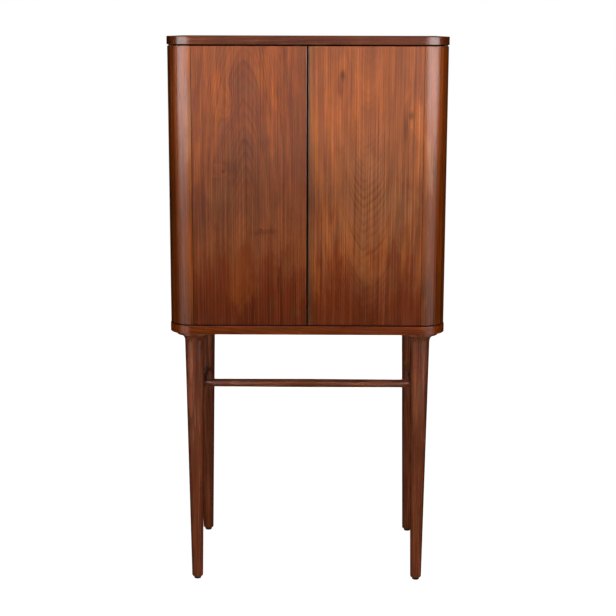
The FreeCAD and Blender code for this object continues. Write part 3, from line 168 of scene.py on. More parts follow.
def woodMaterial(name, along="z", pith=(0, 0, 0), tilt=(0, 0), seed=0, **changes):
    # pith is a place on the pith line in mm, tilt is how that line leans in degrees, and another
    # seed gives another board
    look = dict(walnut, **changes)
    material, tree = newMaterial(name)
    align = {"z": Matrix.Identity(3),
             "x": Matrix.Rotation(math.radians(-90), 3, "Y"),
             "y": Matrix.Rotation(math.radians(90), 3, "X")}[along]
    lean = Euler((math.radians(tilt[0]), math.radians(tilt[1]), 0)).to_matrix()
    turn = lean @ align
    start = addNode(tree, "ShaderNodeTexCoord").outputs["Object"]
    # the board seen along its pith, and seen square to its face; both in mm
    board = addNode(tree, "ShaderNodeMapping",
                    {"Vector": start, "Location": -(turn @ Vector(pith)),
                     "Rotation": turn.to_euler(), "Scale": (1 / mm,) * 3})
    front = addNode(tree, "ShaderNodeMapping",
                    {"Vector": start, "Rotation": align.to_euler(), "Scale": (1 / mm,) * 3})

    # noises drawn out along the board: mm across, mm along, detail, and how rough they are
    noises = {"wander": (120, 900, 3, 0.5), "drift": (60, 900, 1, 0.5),
              "streak": (22, 520, 2, 0.5), "broad": (8, 420, 1, 0.5), "flame": (45, 70, 2, 0.5),
              "cloud": (30, 75, 3, 0.6), "fibre": (look["fibre"], look["fibreLength"], 1, 0.5),
              "pore": (look["pores"], look["poreLength"], 1, 0.5)}
    noise = {}
    for kind, (across, length, detail, rough) in noises.items():
        stretched = addNode(tree, "ShaderNodeVectorMath",
                            {0: front, 1: (1 / across, 1 / across, 1 / length),
                             2: (seed, seed * 0.7, seed * 1.3)}, operation="MULTIPLY_ADD")
        noise[kind] = addNode(tree, "ShaderNodeTexNoise",
                              {"Vector": stretched, "Scale": 1, "Detail": detail,
                               "Roughness": rough})

    # distance from the pith, with the rings swaying a little along the board
    centred = addNode(tree, "ShaderNodeVectorMath",
                      {0: noise["wander"].outputs["Color"], 1: (0.5, 0.5, 0.5)},
                      operation="SUBTRACT")
    swayed = addNode(tree, "ShaderNodeVectorMath",
                     {0: centred, 1: (look["waviness"] * 2, look["waviness"] * 2, 0), 2: board},
                     operation="MULTIPLY_ADD")
    flattened = addNode(tree, "ShaderNodeVectorMath", {0: swayed, 1: (1, 1, 0)},
                        operation="MULTIPLY")
    distance = addNode(tree, "ShaderNodeVectorMath", {0: flattened},
                       operation="LENGTH").outputs["Value"]
    distance, eyes = partRings(tree, start, distance, look["knots"])

    # noises that follow the rings and change only slowly along the board: mm across, mm along
    height = addNode(tree, "ShaderNodeSeparateXYZ", {0: board}).outputs["Z"]
    for kind, width, length in (("band", look["bandWidth"], 1500), ("fade", 9, 260)):
        across = addNode(tree, "ShaderNodeMath", {0: distance, 1: 1 / width, 2: seed},
                         operation="MULTIPLY_ADD")
        lengthwise = addNode(tree, "ShaderNodeMath", {0: height, 1: 1 / length},
                             operation="MULTIPLY")
        place = addNode(tree, "ShaderNodeCombineXYZ", {"X": across, "Y": lengthwise})
        noise[kind] = addNode(tree, "ShaderNodeTexNoise",
                              {"Vector": place, "Scale": 1, "Detail": 2},
                              noise_dimensions="2D")

    # each share comes from a noise: between these two levels, it goes from this to that
    spread = look["contrast"]
    levels = {
        "rings": ("drift", 0.2, 0.8, 0, 2),
        "band": ("band", 0.36, 0.64, 0, 1),
        "fade": ("fade", 0.35, 0.65, 0.1, 1),
        "streak": ("streak", 0.36, 0.64, 0.25, 0),
        "olive": ("cloud", 0.5, 0.66, 0, look["mottle"]),
        "purple": ("cloud", 0.46, 0.32, 0, look["mottle"]),
        "fibre": ("fibre", 0.28, 0.72, 1 - spread, 1 + spread),
        "broad": ("broad", 0.3, 0.7, 1 - spread / 2, 1 + spread / 2),
        "flame": ("flame", 0.3, 0.7, 0.93, 1.07),
        "pore": ("pore", 0.6, 0.7, 0, 1),
        "filled": ("pore", 0.6, 0.7, 0, 0.22),
        "sheen": ("fibre", 0.3, 0.7, look["roughness"] - 0.04, look["roughness"] + 0.05),
    }
    share = {}
    for kind, (source, low, high, first, last) in levels.items():
        share[kind] = addNode(tree, "ShaderNodeMapRange",
                              {"Value": noise[source].outputs["Fac"], "From Min": low,
                               "From Max": high, "To Min": first, "To Max": last})

    # one dark line for each year, sharper on its outer side
    years = addNode(tree, "ShaderNodeMath",
                    {0: distance, 1: 1 / look["ringWidth"], 2: share["rings"]},
                    operation="MULTIPLY_ADD")
    ofYear = addNode(tree, "ShaderNodeMath", {0: years}, operation="FRACT")
    ring = addNode(tree, "ShaderNodeFloatCurve", {"Value": ofYear})
    curve = ring.mapping.curves[0]
    for x, y in ((0.3, 0.2), (0.66, 0.72), (0.86, 1.0)):
        curve.points.new(x, y)
    curve.points[0].location = (0, 0.25)
    curve.points[-1].location = (1, 0.25)
    ring.mapping.update()
    ringLine = addNode(tree, "ShaderNodeMath", {0: ring, 1: share["fade"]}, operation="MULTIPLY")
    if look["figureReach"]:
        offset = addNode(tree, "ShaderNodeMath", {0: height, 1: look["figureAt"] - pith[2]},
                         operation="SUBTRACT")
        beyond = addNode(tree, "ShaderNodeMath", {0: offset}, operation="ABSOLUTE")
        figure = addNode(tree, "ShaderNodeMapRange",
                         {"Value": beyond, "From Min": look["figureReach"] * 0.5,
                          "From Max": look["figureReach"], "To Min": 1, "To Max": 0.4})
        ringLine = addNode(tree, "ShaderNodeMath", {0: ringLine, 1: figure},
                           operation="MULTIPLY")
    ringAmount = addNode(tree, "ShaderNodeMath", {0: ringLine, 1: look["ringDepth"]},
                         operation="MULTIPLY")

    # colours laid over each other: how much of each, and which
    strips = boardStrips(tree, start, look)
    layers = [(share["streak"], linear(look["cool"]))]
    if look["heartReach"]:
        fadeStart, fadeEnd = (look["heartReach"] + step for step in look["heartFade"])
        heart = addNode(tree, "ShaderNodeMapRange",
                        {"Value": distance, "From Min": fadeStart, "From Max": fadeEnd,
                         "To Min": 0.35, "To Max": 0}, interpolation_type="SMOOTHSTEP")
        layers.append((heart, linear(look["heart"])))
        # a bright band of younger wood lies round it
        outside = addNode(tree, "ShaderNodeMath",
                          {0: distance, 1: look["heartReach"] + look["sapAt"]},
                          operation="SUBTRACT")
        fromBand = addNode(tree, "ShaderNodeMath", {0: outside}, operation="ABSOLUTE")
        sapBand = addNode(tree, "ShaderNodeMapRange",
                          {"Value": fromBand, "From Min": 0, "From Max": look["sapHalf"],
                           "To Min": 0.4, "To Max": 0})
        layers.append((sapBand, linear(look["warm"])))
    layers.append((share["olive"], linear(look["olive"])))
    layers.append((share["purple"], linear(look["cool"])))
    layers += patchLayers(tree, start, noise["cloud"].outputs["Color"], look)
    if look["stripe"]:
        layers.append((strips["stripe"], linear(look["stripe"]["tone"])))
    layers.append((ringAmount, linear(look["late"])))
    banded = addNode(tree, "ShaderNodeMix",
                     {0: share["band"], 6: linear(look["cool"]), 7: linear(look["warm"])},
                     data_type="RGBA")
    tone = addNode(tree, "ShaderNodeMix",
                   {0: look["bandDepth"], 6: linear(look["early"]), 7: banded.outputs[2]},
                   data_type="RGBA")
    for amount, colour in layers:
        tone = addNode(tree, "ShaderNodeMix", {0: amount, 6: tone.outputs[2], 7: colour},
                       data_type="RGBA")

    # light and dark fibres
    fibred = addNode(tree, "ShaderNodeMath", {0: share["fibre"], 1: share["broad"]},
                     operation="MULTIPLY")
    shade = addNode(tree, "ShaderNodeMath", {0: fibred, 1: share["flame"]}, operation="MULTIPLY")
    tone = addNode(tree, "ShaderNodeHueSaturation",
                   {"Hue": 0.5, "Saturation": look["saturation"], "Fac": 1, "Value": shade,
                    "Color": tone.outputs[2]})

    # over them lie the open pores, knots, edges where the lacquer is rubbed thin, and stain
    # that has gathered in the groove beside a joint; an edge is where rounding it would turn
    # the surface
    bevel = addNode(tree, "ShaderNodeBevel", {"Radius": look["edgeWidth"] * mm}, samples=4)
    flat = addNode(tree, "ShaderNodeNewGeometry").outputs["Normal"]
    turned = addNode(tree, "ShaderNodeVectorMath", {0: bevel, 1: flat}, operation="DOT_PRODUCT")
    edge = addNode(tree, "ShaderNodeMapRange",
                   {"Value": turned.outputs["Value"], "From Min": 0.995, "From Max": 0.8,
                    "To Min": 0, "To Max": look["edgeWear"]})
    layers = [(share["filled"], linear(look["pore"]))]
    for eye in eyes:
        layers.append((eye, linear(look["pore"])))
    layers.append((edge, linear(look["wornAndLit"])))
    if look["seam"]:
        layers.append((strips["seam"], linear(look["pore"])))
    tone = tone.outputs[0]
    for amount, colour in layers:
        tone = addNode(tree, "ShaderNodeMix", {0: amount, 6: tone, 7: colour},
                       data_type="RGBA").outputs[2]

    sheen = share["sheen"]
    if look["rubbed"]:
        facing = addNode(tree, "ShaderNodeSeparateXYZ", {0: flat})
        wiped = addNode(tree, "ShaderNodeMapRange",
                        {"Value": facing.outputs["Z"], "From Min": 0.9, "From Max": 1,
                         "To Min": 0, "To Max": look["rubbed"]})
        sheen = addNode(tree, "ShaderNodeMath", {0: sheen, 1: wiped}, operation="ADD")
    grainHeight = addNode(tree, "ShaderNodeMath",
                          {0: share["pore"], 1: -0.8, 2: noise["fibre"].outputs["Fac"]},
                          operation="MULTIPLY_ADD")
    relief = addNode(tree, "ShaderNodeBump",
                     {"Height": grainHeight, "Strength": 0.5, "Distance": look["grainRelief"] * mm})
    surface = addNode(tree, "ShaderNodeBsdfPrincipled",
                      {"IOR": look["ior"], "Base Color": tone, "Roughness": sheen,
                       "Normal": relief})
    addNode(tree, "ShaderNodeOutputMaterial", {"Surface": surface})
    return material


# Satin-lacquered walnut veneer: brown boards with a soft sheen and cathedral grain.
# Their meeting edges and bottoms are painted dark, a painted shadow of the gaps, so that the gaps
# read as lines. Patches also paint light and shade onto them: paler across the middle, darker
# towards the bottom.
low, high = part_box("door_right_panel")
faceY, seamX = low.y / mm, high.x / mm
gapX, bottomZ = low.x / mm, low.z / mm
endless = 3000      # mm, so long that a patch doesn't end on the door
rightDoorLook = {
    "pith": (163, faceY + 115, 1010), "tilt": (-8, 0.4), "seed": 3.1,
    "early": "#A0552B", "warm": "#B05F28", "cool": "#824429", "late": "#54230F",
    "deep": "#86320B", "ringWidth": 3.2, "ringDepth": 0.42, "figureAt": 1000,
    "figureReach": 260, "contrast": 0.3, "edgeWear": 0.12,
    "seam": {"x": seamX, "half": 1.1},
    "stripe": {"x": 3, "half": 15, "tone": "#6C482C"},
    "knots": [
        {"x": 92, "z": 1424, "squeeze": 0.5, "reach": 62, "push": 26, "eye": 11},
        {"x": 274, "z": 1318, "squeeze": 0.6, "reach": 52, "push": 22, "eye": 12}],
    "patches": [
        {"x": 90, "z": 1456, "half": (16, 26), "tone": "warm", "amount": 0.7},
        {"x": 84, "z": 1398, "half": (9, 34), "tone": "late", "amount": 0.45},
        {"x": 262, "z": 1286, "half": (8, 42), "tone": "late", "amount": 0.45},
        {"x": 166, "z": 1240, "half": (12, 70), "tone": "cool", "amount": 0.6},
        {"x": 172, "z": 1280, "half": (40, 90), "tone": "cool", "amount": 0.6},
        {"x": 245, "z": 1085, "half": (62, 60), "tone": "wornAndLit", "amount": 0.2},
        {"x": 74, "z": 1050, "half": (9, 60), "tone": "warm", "amount": 0.7},
        {"x": 96, "z": 940, "half": (12, 110), "tone": "warm", "amount": 0.5},
        {"x": 236, "z": 940, "half": (14, 60), "tone": "late", "amount": 0.15},
        # painted light: pale patches across the middle of the door
        {"x": 170, "z": 1080, "half": (150, 160), "tone": "wornAndLit", "amount": 0.27},
        {"x": 170, "z": 1215, "half": (330, 110), "tone": "wornAndLit", "amount": 0.09},
        {"x": seamX - 8, "z": 1400, "half": (14, 90), "tone": "cool", "amount": 0.8},
        # painted shadow of the gaps, on the meeting edge and on the lower edge
        {"x": gapX, "z": 1100, "half": (3.4, endless), "tone": "pore", "amount": 0.95},
        {"x": 170, "z": bottomZ, "half": (endless, 3), "tone": "pore", "amount": 0.8},
        # painted shade: purplish and darker at the top, red brown and darker at the bottom
        {"x": 170, "z": 1480, "half": (330, 120), "tone": "cool", "amount": 0.3},
        {"x": 150, "z": 750, "half": (340, 200), "tone": "deep", "amount": 0.75},
        {"x": 185, "z": 860, "half": (70, 80), "tone": "wornAndLit", "amount": 0.14}],
}
paint(woodMaterial("lacquered walnut veneer, right door", **rightDoorLook), "door_right_panel")
leftDoorLook = {
    "pith": (-171, faceY + 125, 1300), "tilt": (4.9, -0.3), "seed": 8.4,
    "ringWidth": 3.2, "ringDepth": 0.5, "heartReach": 141, "contrast": 0.29, "mottle": 0.42,
    "figureAt": 1400, "figureReach": 280, "edgeWear": 0.12,
    "seam": {"x": -seamX, "half": 1.3},
    "knots": [
        {"x": -208, "z": 1340, "squeeze": 0.45, "reach": 36, "push": 9, "eye": 2},
        {"x": -225, "z": 1170, "squeeze": 1.3, "reach": 46, "push": 24, "eye": 8},
        {"x": -124, "z": 1013, "squeeze": 1.6, "reach": 48, "push": 26, "eye": 8}],
    "patches": [
        {"x": -243, "z": 1400, "half": (13, 60), "tone": "warm", "amount": 0.75},
        {"x": -238, "z": 1330, "half": (9, 30), "tone": "warm", "amount": 0.6},
        {"x": -112, "z": 1440, "half": (12, 60), "tone": "warm", "amount": 0.8},
        {"x": -92, "z": 1370, "half": (11, 50), "tone": "warm", "amount": 0.7},
        {"x": -158, "z": 1235, "half": (34, 40), "tone": "heart", "amount": 0.6},
        {"x": -200, "z": 1180, "half": (30, 22), "tone": "late", "amount": 0.4},
        {"x": -110, "z": 1008, "half": (36, 9), "tone": "late", "amount": 0.55},
        {"x": -50, "z": 1250, "half": (46, 210), "tone": "cool", "amount": 0.45},
        {"x": -235, "z": 1105, "half": (48, 60), "tone": "wornAndLit", "amount": 0.16},
        {"x": -76, "z": 880, "half": (7, 60), "tone": "late", "amount": 0.6},
        {"x": -286, "z": 1060, "half": (26, 110), "tone": "cool", "amount": 0.6},
        # painted light: pale patches across the middle of the door
        {"x": -170, "z": 1215, "half": (330, 110), "tone": "wornAndLit", "amount": 0.06},
        {"x": -170, "z": 1020, "half": (250, 120), "tone": "wornAndLit", "amount": 0.1},
        # painted shadow of the gaps, on the meeting edge and on the lower edge
        {"x": -gapX, "z": 1100, "half": (2, endless), "tone": "pore", "amount": 0.5},
        {"x": -170, "z": bottomZ, "half": (endless, 3), "tone": "pore", "amount": 0.8},
        # painted shade, red brown and darker at the bottom, with an orange streak in it
        {"x": -150, "z": 745, "half": (340, 215), "tone": "deep", "amount": 0.7},
        {"x": -178, "z": 855, "half": (34, 95), "tone": "warm", "amount": 0.55}],
}
paint(woodMaterial("lacquered walnut veneer, left door", **leftDoorLook), "door_left_panel")

# Solid walnut under the same lacquer, where the doors turn the corner: redder and livelier, with
# grain that stands a little prouder.
outerX = 372        # mm, just inside the outer edge of the corner
cornerLook = {"early": "#8A4117", "warm": "#9E4C14", "cool": "#6E3014", "bandWidth": 6,
              "bandDepth": 0.6, "ringDepth": 0.45, "roughness": 0.29, "contrast": 0.34,
              "saturation": 1.04, "grainRelief": 0.2}
leftCornerLook = dict(
    cornerLook, pith=(-300, -60, 1100), tilt=(0.4, 0.5), seed=1.7,
    stripe={"x": -seamX - 3, "half": 9, "tone": "#98501F"},
    patches=[
        # painted highlight, pale beside the seam, and painted shade, darker at the outer edge
        {"x": -seamX - 4, "z": 1330, "half": (12, 210), "tone": "wornAndLit", "amount": 0.7},
        {"x": -outerX, "z": 1430, "half": (14, 150), "tone": "late", "amount": 0.35}])
rightCornerLook = dict(
    cornerLook, pith=(290, -60, 1100), tilt=(-0.5, 0.3), seed=5.2,
    stripe={"x": seamX + 4, "half": 13, "tone": "#9E5428"},
    patches=[
        # painted highlight, pale beside the seam, and painted shade, darker at the outer edge
        {"x": seamX + 14, "z": 1190, "half": (14, 120), "tone": "wornAndLit", "amount": 0.65},
        {"x": seamX + 10, "z": 960, "half": (14, 130), "tone": "wornAndLit", "amount": 0.4},
        {"x": outerX, "z": 1430, "half": (14, 150), "tone": "late", "amount": 0.35},
        {"x": seamX + 6, "z": 1420, "half": (14, 110), "tone": "cool", "amount": 0.75}])
paint(woodMaterial("lacquered solid walnut, left corner", **leftCornerLook), "door_left_corner")
paint(woodMaterial("lacquered solid walnut, right corner", **rightCornerLook),
      "door_right_corner")
leftSideLook = {"pith": (-480, 40, 1150), "tilt": (1, 4), "seed": 6.6, "bandWidth": 12,
                "ringWidth": 3.6}
rightSideLook = {"pith": (485, 60, 1000), "tilt": (1, -4), "seed": 2.9, "bandWidth": 12,
                 "ringWidth": 3.6}
paint(woodMaterial("lacquered walnut veneer, left side", **leftSideLook), "side_panel_left")
paint(woodMaterial("lacquered walnut veneer, right side", **rightSideLook), "side_panel_right")

# Top and base: the grain runs from side to side, and the level faces are dulled by wiping.
topLook = {"pith": (100, 20, 1420), "tilt": (1, 4), "seed": 4.3,
           "early": "#602B16", "warm": "#763616", "cool": "#4A2110", "late": "#341408",
           "bandWidth": 10, "saturation": 1.05, "rubbed": 0.24}
baseLook = {"pith": (-60, -20, 640), "tilt": (1, -4), "seed": 9.5,
            "early": "#A84A1C", "warm": "#B95619", "cool": "#8C3A16", "late": "#4C2010",
            "bandWidth": 10, "saturation": 1.14, "rubbed": 0.24}
paint(woodMaterial("lacquered walnut, top", along="x", **topLook), "top_slab")
paint(woodMaterial("lacquered walnut, base", along="x", **baseLook), "base_slab")
print("outer boards painted")

# Turned solid walnut: straight grain that the taper cuts into long ovals. Each piece is cut from
# another place in the board; its pith is so many mm beside the middle of the piece.
turnedLook = {"early": "#8E431C", "cool": "#652D16", "warm": "#A44E19", "bandWidth": 9,
              "fibre": 2.6, "saturation": 0.96}
legCut = {"beside": (60, 90), "height": 400, "tilt": (1.2, 0.8), "seed": 11.3}
stretcherCut = {"beside": (40, 60, -50), "tilt": (0.8, 0.6), "seed": 21.7}
besideX, besideY = legCut["beside"]
tiltX, tiltY = legCut["tilt"]
for index, name in enumerate(("leg_front_left", "leg_front_right", "leg_rear_left",
                              "leg_rear_right")):
    low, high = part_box(name)
    middle = (low + high) / 2 / mm
    paint(woodMaterial("turned walnut, " + name.replace("_", " "),
                       pith=(middle.x + besideX, middle.y + besideY, legCut["height"]),
                       tilt=(tiltX - index, tiltY),
                       seed=legCut["seed"] + 2.1 * index, **turnedLook), name)
for index, name in enumerate(("side_stretcher_left", "side_stretcher_right", "cross_stretcher")):
    low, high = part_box(name)
    middle = (low + high) / 2 / mm
    paint(woodMaterial("turned walnut, " + name.replace("_", " "),
                       along="x" if name == "cross_stretcher" else "y",
                       pith=tuple(middle + Vector(stretcherCut["beside"])),
                       tilt=stretcherCut["tilt"], seed=stretcherCut["seed"] + 1.9 * index,
                       **turnedLook), name)
print("stand painted")

# Inner boards: oiled walnut, a little paler and duller than the lacquered outside.
innerLook = {"early": "#9A5730", "warm": "#AB6633", "cool": "#7C4629", "olive": "#7E5530",
             "mottle": 0.22, "roughness": 0.42, "saturation": 1.05}
# the way the grain runs, a place on the pith in mm, and how the pith is tilted in degrees
innerBoards = {
    "counter_shelf": ("x", (0, 110, 1060), (1, 2)),
    "fold_out_leaf": ("x", (0, 60, 1210), (1, -2)),
    "adjustable_shelf": ("x", (180, 110, 860), (1, 3)),
    "center_divider": ("z", (-70, 110, 900), (2, 2)),
    "rack_shelf_lower": ("x", (-180, 90, 800), (1, 2)),
    "rack_shelf_upper": ("x", (-180, 130, 1050), (1, -2)),
    "rack_divider_left": ("z", (-310, 90, 900), (2, 3)),
    "rack_divider_right": ("z", (-60, 90, 900), (2, -3)),
    "door_left_tray": ("x", (-160, -200, 740), (1, 2)),
    "door_right_tray": ("x", (160, -200, 740), (1, -2)),
}
for index, (name, (along, pith, tilt)) in enumerate(innerBoards.items()):
    paint(woodMaterial("oiled walnut, " + name.replace("_", " "), along=along, pith=pith,
                       tilt=tilt, seed=31.4 + 1.7 * index, **innerLook), name)
railWood = woodMaterial("oiled walnut, glass rails", along="y", pith=(40, 0, 1560), tilt=(1, 1),
                        seed=51.2, **innerLook)
paint(railWood, *[f"stemware_rail_{number}" for number in range(1, 6)])

# Back board: a thin veneered panel with a duller, flatter face.
backLook = {"pith": (60, 330, 1100), "tilt": (2.5, 1), "seed": 61.8, "early": "#84492B",
            "warm": "#935430", "cool": "#6A3D2C", "roughness": 0.55}
paint(woodMaterial("walnut-faced back board", **backLook), "back_panel")

# Beech, waxed: pale, pinkish and nearly plain, with short flecks.
beechLook = {"pith": (0, 40, 1000), "tilt": (1, 1), "seed": 71.3,
             "early": "#C9A27A", "late": "#A67B53", "warm": "#D1AC84", "cool": "#BD9570",
             "olive": "#C4A070", "pore": "#8A6040", "wornAndLit": "#DCC0A0", "ringDepth": 0.35,
             "poreLength": 6, "mottle": 0.2, "roughness": 0.5}
paint(woodMaterial("waxed beech", along="y", **beechLook), "loper_left", "loper_right",
      "loper_guide_left", "loper_guide_right", "case_dowels")
print("inner boards painted")


def metalMaterial(name, along, look):
    # brushing shows as fine parallel lines, and fingers leave broad dull stains
    material, tree = newMaterial(name)
    start = addNode(tree, "ShaderNodeTexCoord").outputs["Object"]
    stretch = [1 / (look["scratch"] * mm)] * 3
    stretch["xyz".index(along)] = 1 / (look["length"] * mm)
    lines = addNode(tree, "ShaderNodeVectorMath", {0: start, 1: stretch}, operation="MULTIPLY")
    brushed = addNode(tree, "ShaderNodeTexNoise", {"Vector": lines, "Scale": 1, "Detail": 3})
    stain = addNode(tree, "ShaderNodeTexNoise",
                    {"Vector": start, "Scale": 1 / (look["stain"] * mm), "Detail": 3})
    dull = addNode(tree, "ShaderNodeMapRange",
                   {"Value": brushed, "From Min": 0.3, "From Max": 0.7,
                    "To Min": look["roughness"] - 0.06, "To Max": look["roughness"] + 0.08})
    shade = addNode(tree, "ShaderNodeMapRange",
                    {"Value": stain, "From Min": 0.3, "From Max": 0.7, "To Min": 0.86,
                     "To Max": 1.05})
    tone = addNode(tree, "ShaderNodeHueSaturation",
                   {"Hue": 0.5, "Saturation": 1, "Fac": 1, "Color": linear(look["colour"]),
                    "Value": shade})
    relief = addNode(tree, "ShaderNodeBump",
                     {"Height": brushed, "Strength": 0.25, "Distance": look["relief"] * mm})
    surface = addNode(tree, "ShaderNodeBsdfPrincipled",
                      {"Metallic": look["bare"], "Base Color": tone, "Roughness": dull,
                       "Normal": relief})
    addNode(tree, "ShaderNodeOutputMaterial", {"Surface": surface})
    return material


# Satin brass, warm and softly blurred; zinc-plated steel, cool grey with a faint bloom. Real
# brush lines are 0.1 mm apart, and are drawn coarser here so that they show. Sizes in mm; bare
# is how much of the metal shows through the bloom on it.
brassLook = {"colour": "#C9A25A", "roughness": 0.3, "bare": 1, "scratch": 0.6, "length": 24,
             "stain": 14, "relief": 0.03}
zincLook = {"colour": "#A6A8AA", "roughness": 0.4, "bare": 0.55, "scratch": 0.8, "length": 32,
            "stain": 14, "relief": 0.03}
brass = metalMaterial("satin brass", "x", brassLook)
zinc = metalMaterial("zinc-plated steel", "z", zincLook)
paint(brass, "base_hinge_plates", "top_hinge_plates", "door_left_hinge_plates",
      "door_right_hinge_plates", "counter_hinge_flaps", "leaf_hinge_flaps", "loper_left_knob",
      "loper_right_knob", "door_left_tray_rail", "door_right_tray_rail", "shelf_pins")
paint(zinc, "wall_brackets", "hanger_bolts", "threaded_inserts", "door_left_strike",
      "door_right_strike")


def plasticMaterial(name, look):
    material, tree = newMaterial(name)
    start = addNode(tree, "ShaderNodeTexCoord").outputs["Object"]
    grain = addNode(tree, "ShaderNodeTexNoise",
                    {"Vector": start, "Scale": 1 / (look["grit"] * mm), "Detail": 2})
    dull = addNode(tree, "ShaderNodeMapRange",
                   {"Value": grain, "From Min": 0.3, "From Max": 0.7,
                    "To Min": look["roughness"] - 0.07, "To Max": look["roughness"] + 0.07})
    relief = addNode(tree, "ShaderNodeBump",
                     {"Height": grain, "Strength": 0.4, "Distance": look["relief"] * mm})
    surface = addNode(tree, "ShaderNodeBsdfPrincipled",
                      {"Base Color": linear(look["colour"]), "IOR": look["ior"],
                       "Roughness": dull, "Normal": relief})
    addNode(tree, "ShaderNodeOutputMaterial", {"Surface": surface})
    return material


# Moulded nylon: matt black with a spark-eroded grain, drawn coarser than the real one of about
# 0.1 mm so that it shows. Sizes in mm.
nylonLook = {"colour": "#1B1A19", "ior": 1.53, "roughness": 0.55, "grit": 0.8, "relief": 0.05}
nylon = plasticMaterial("moulded black nylon", nylonLook)
paint(nylon, "foot_glides", "hinge_washers", "latch_housing_left", "latch_housing_right",
      "latch_plunger_left", "latch_plunger_right")
print("metals and plastics painted")

# Screws. A flush head lies in a metal plate over the hole that the plate has for it, and a
# raised head sits on wood, so its cross is only as deep as the head is high. Sizes in mm.
screwHeads = {
    "flush": {"radius": 3.1, "rise": 0.15, "cross": 1.0},
    "raised": {"radius": 3.6, "rise": 1.3, "cross": 1.1},
    "small": {"radius": 1.8, "rise": 0.2, "cross": 0.15},
    "low": {"radius": 3.4, "rise": 0.85, "cross": 0.7},
}
# length and half width of an arm of the cross in radii, and how much narrower its foot is
screwCross = {"arm": 0.5, "half": 0.13, "taper": 0.8}


def screwHead(kind):
    radius, rise = screwHeads[kind]["radius"], screwHeads[kind]["rise"]
    sides = 24
    # the rim rounds over in three steps: share of the radius, and height
    rim = ((1, -0.05), (1, rise * 0.5), (0.93, rise * 0.85), (0.8, rise))
    mesh = bmesh.new()
    rings = []
    for share, level in rim:
        ring = []
        for step in range(sides):
            angle = math.radians(360 / sides * step)
            ring.append(mesh.verts.new((radius * share * math.cos(angle),
                                        radius * share * math.sin(angle), level)))
        rings.append(ring)
    for lower, upper in zip(rings, rings[1:]):
        for step in range(sides):
            mesh.faces.new((lower[step - 1], lower[step], upper[step], upper[step - 1]))
    arm, half, taper = radius * screwCross["arm"], radius * screwCross["half"], screwCross["taper"]
    corners = [(arm, -half), (arm, half), (half, half), (half, arm), (-half, arm), (-half, half),
               (-arm, half), (-arm, -half), (-half, -half), (-half, -arm), (half, -arm),
               (half, -half)]
    bottom = rise - screwHeads[kind]["cross"]
    lip = [mesh.verts.new((x, y, rise)) for x, y in corners]
    foot = [mesh.verts.new((x * taper, y * taper, bottom)) for x, y in corners]
    edges = [mesh.edges.new((lip[i - 1], lip[i])) for i in range(len(corners))]
    for step in range(sides):
        edges.append(mesh.edges.get((rings[-1][step - 1], rings[-1][step])))
    bmesh.ops.triangle_fill(mesh, edges=edges, normal=(0, 0, 1))
    for i in range(len(corners)):
        mesh.faces.new((foot[i - 1], foot[i], lip[i], lip[i - 1]))
    mesh.faces.new(foot)
    bmesh.ops.recalc_face_normals(mesh, faces=mesh.faces)
    return mesh


def driveScrews(name, kind, places, toward, body, finish):
    single = bpy.data.meshes.new("head")
    head = screwHead(kind)
    head.to_mesh(single)
    head.free()
    turn = Vector(toward).to_track_quat("Z", "Y").to_matrix().to_4x4()
    heads = bmesh.new()
    for index, place in enumerate(places):
        # nobody lines the crosses up
        twist = Matrix.Rotation(math.radians(37 * index), 4, "Z")
        pose = Matrix.Translation(Vector(place) * mm) @ turn @ twist @ Matrix.Scale(mm, 4)
        single.transform(pose)
        heads.from_mesh(single)
        single.transform(pose.inverted())
    mesh = bpy.data.meshes.new(name)
    heads.to_mesh(mesh)
    heads.free()
    bpy.data.meshes.remove(single)
    mesh.materials.append(finish)
    piece = bpy.data.objects.new(name, mesh)
    bpy.context.scene.collection.objects.link(piece)
    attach(piece, body)
    return piece


def boxSide(nodeName, side):
    # where a node's box ends on a side such as +z, in mm
    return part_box(nodeName)["-+".index(side[0])]["xyz".index(side[1])] / mm


up, down, backward = (0, 0, 1), (0, 0, -1), (0, 1, 0)
# Places of the screws in mm. Those of the right door are mirrored to the left one.
hingeScrews = {"x": (-346, -327, 327, 346), "y": -190}
driveScrews("lower_hinge_screws", "flush",
            [(x, hingeScrews["y"], boxSide("base_hinge_plates", "+z")) for x in hingeScrews["x"]],
            up, "carcass", brass)
driveScrews("upper_hinge_screws", "flush",
            [(x, hingeScrews["y"], boxSide("top_hinge_plates", "-z")) for x in hingeScrews["x"]],
            down, "carcass", brass)
doorScrews = {"x": 365, "y": (-202, -211.6)}
trayScrews = {"x": (70, 161, 252), "z": 888, "wall": 12}    # wall is how thick the tray's back is
strikeScrews = {"x": (23.4, 36.6), "z": 1491}
for hand, mirror in (("left", -1), ("right", 1)):
    plates, tray, strike = (f"door_{hand}_{what}" for what in ("hinge_plates", "tray", "strike"))
    for level, toward, side in (("lower", down, "-z"), ("upper", up, "+z")):
        driveScrews(f"door_{hand}_{level}_hinge_screws", "flush",
                    [(mirror * doorScrews["x"], y, boxSide(plates, side))
                     for y in doorScrews["y"]], toward, f"door_{hand}", brass)
    driveScrews(f"door_{hand}_tray_screws", "raised",
                [(mirror * x, boxSide(tray, "-y") + trayScrews["wall"], trayScrews["z"])
                 for x in trayScrews["x"]], backward, f"door_{hand}", brass)
    driveScrews(f"door_{hand}_strike_screws", "small",
                [(mirror * x, boxSide(strike, "+y"), strikeScrews["z"])
                 for x in strikeScrews["x"]], backward, f"door_{hand}", zinc)
flapScrews = {"x": (-234, -206, 206, 234), "y": -25, "counter": 1117, "leaf": 1117.5}
driveScrews("counter_flap_screws", "flush",
            [(x, flapScrews["y"], flapScrews["counter"]) for x in flapScrews["x"]],
            up, "carcass", brass)
driveScrews("leaf_flap_screws", "flush",
            [(x, flapScrews["y"], flapScrews["leaf"]) for x in flapScrews["x"]],
            down, "leaf", brass)
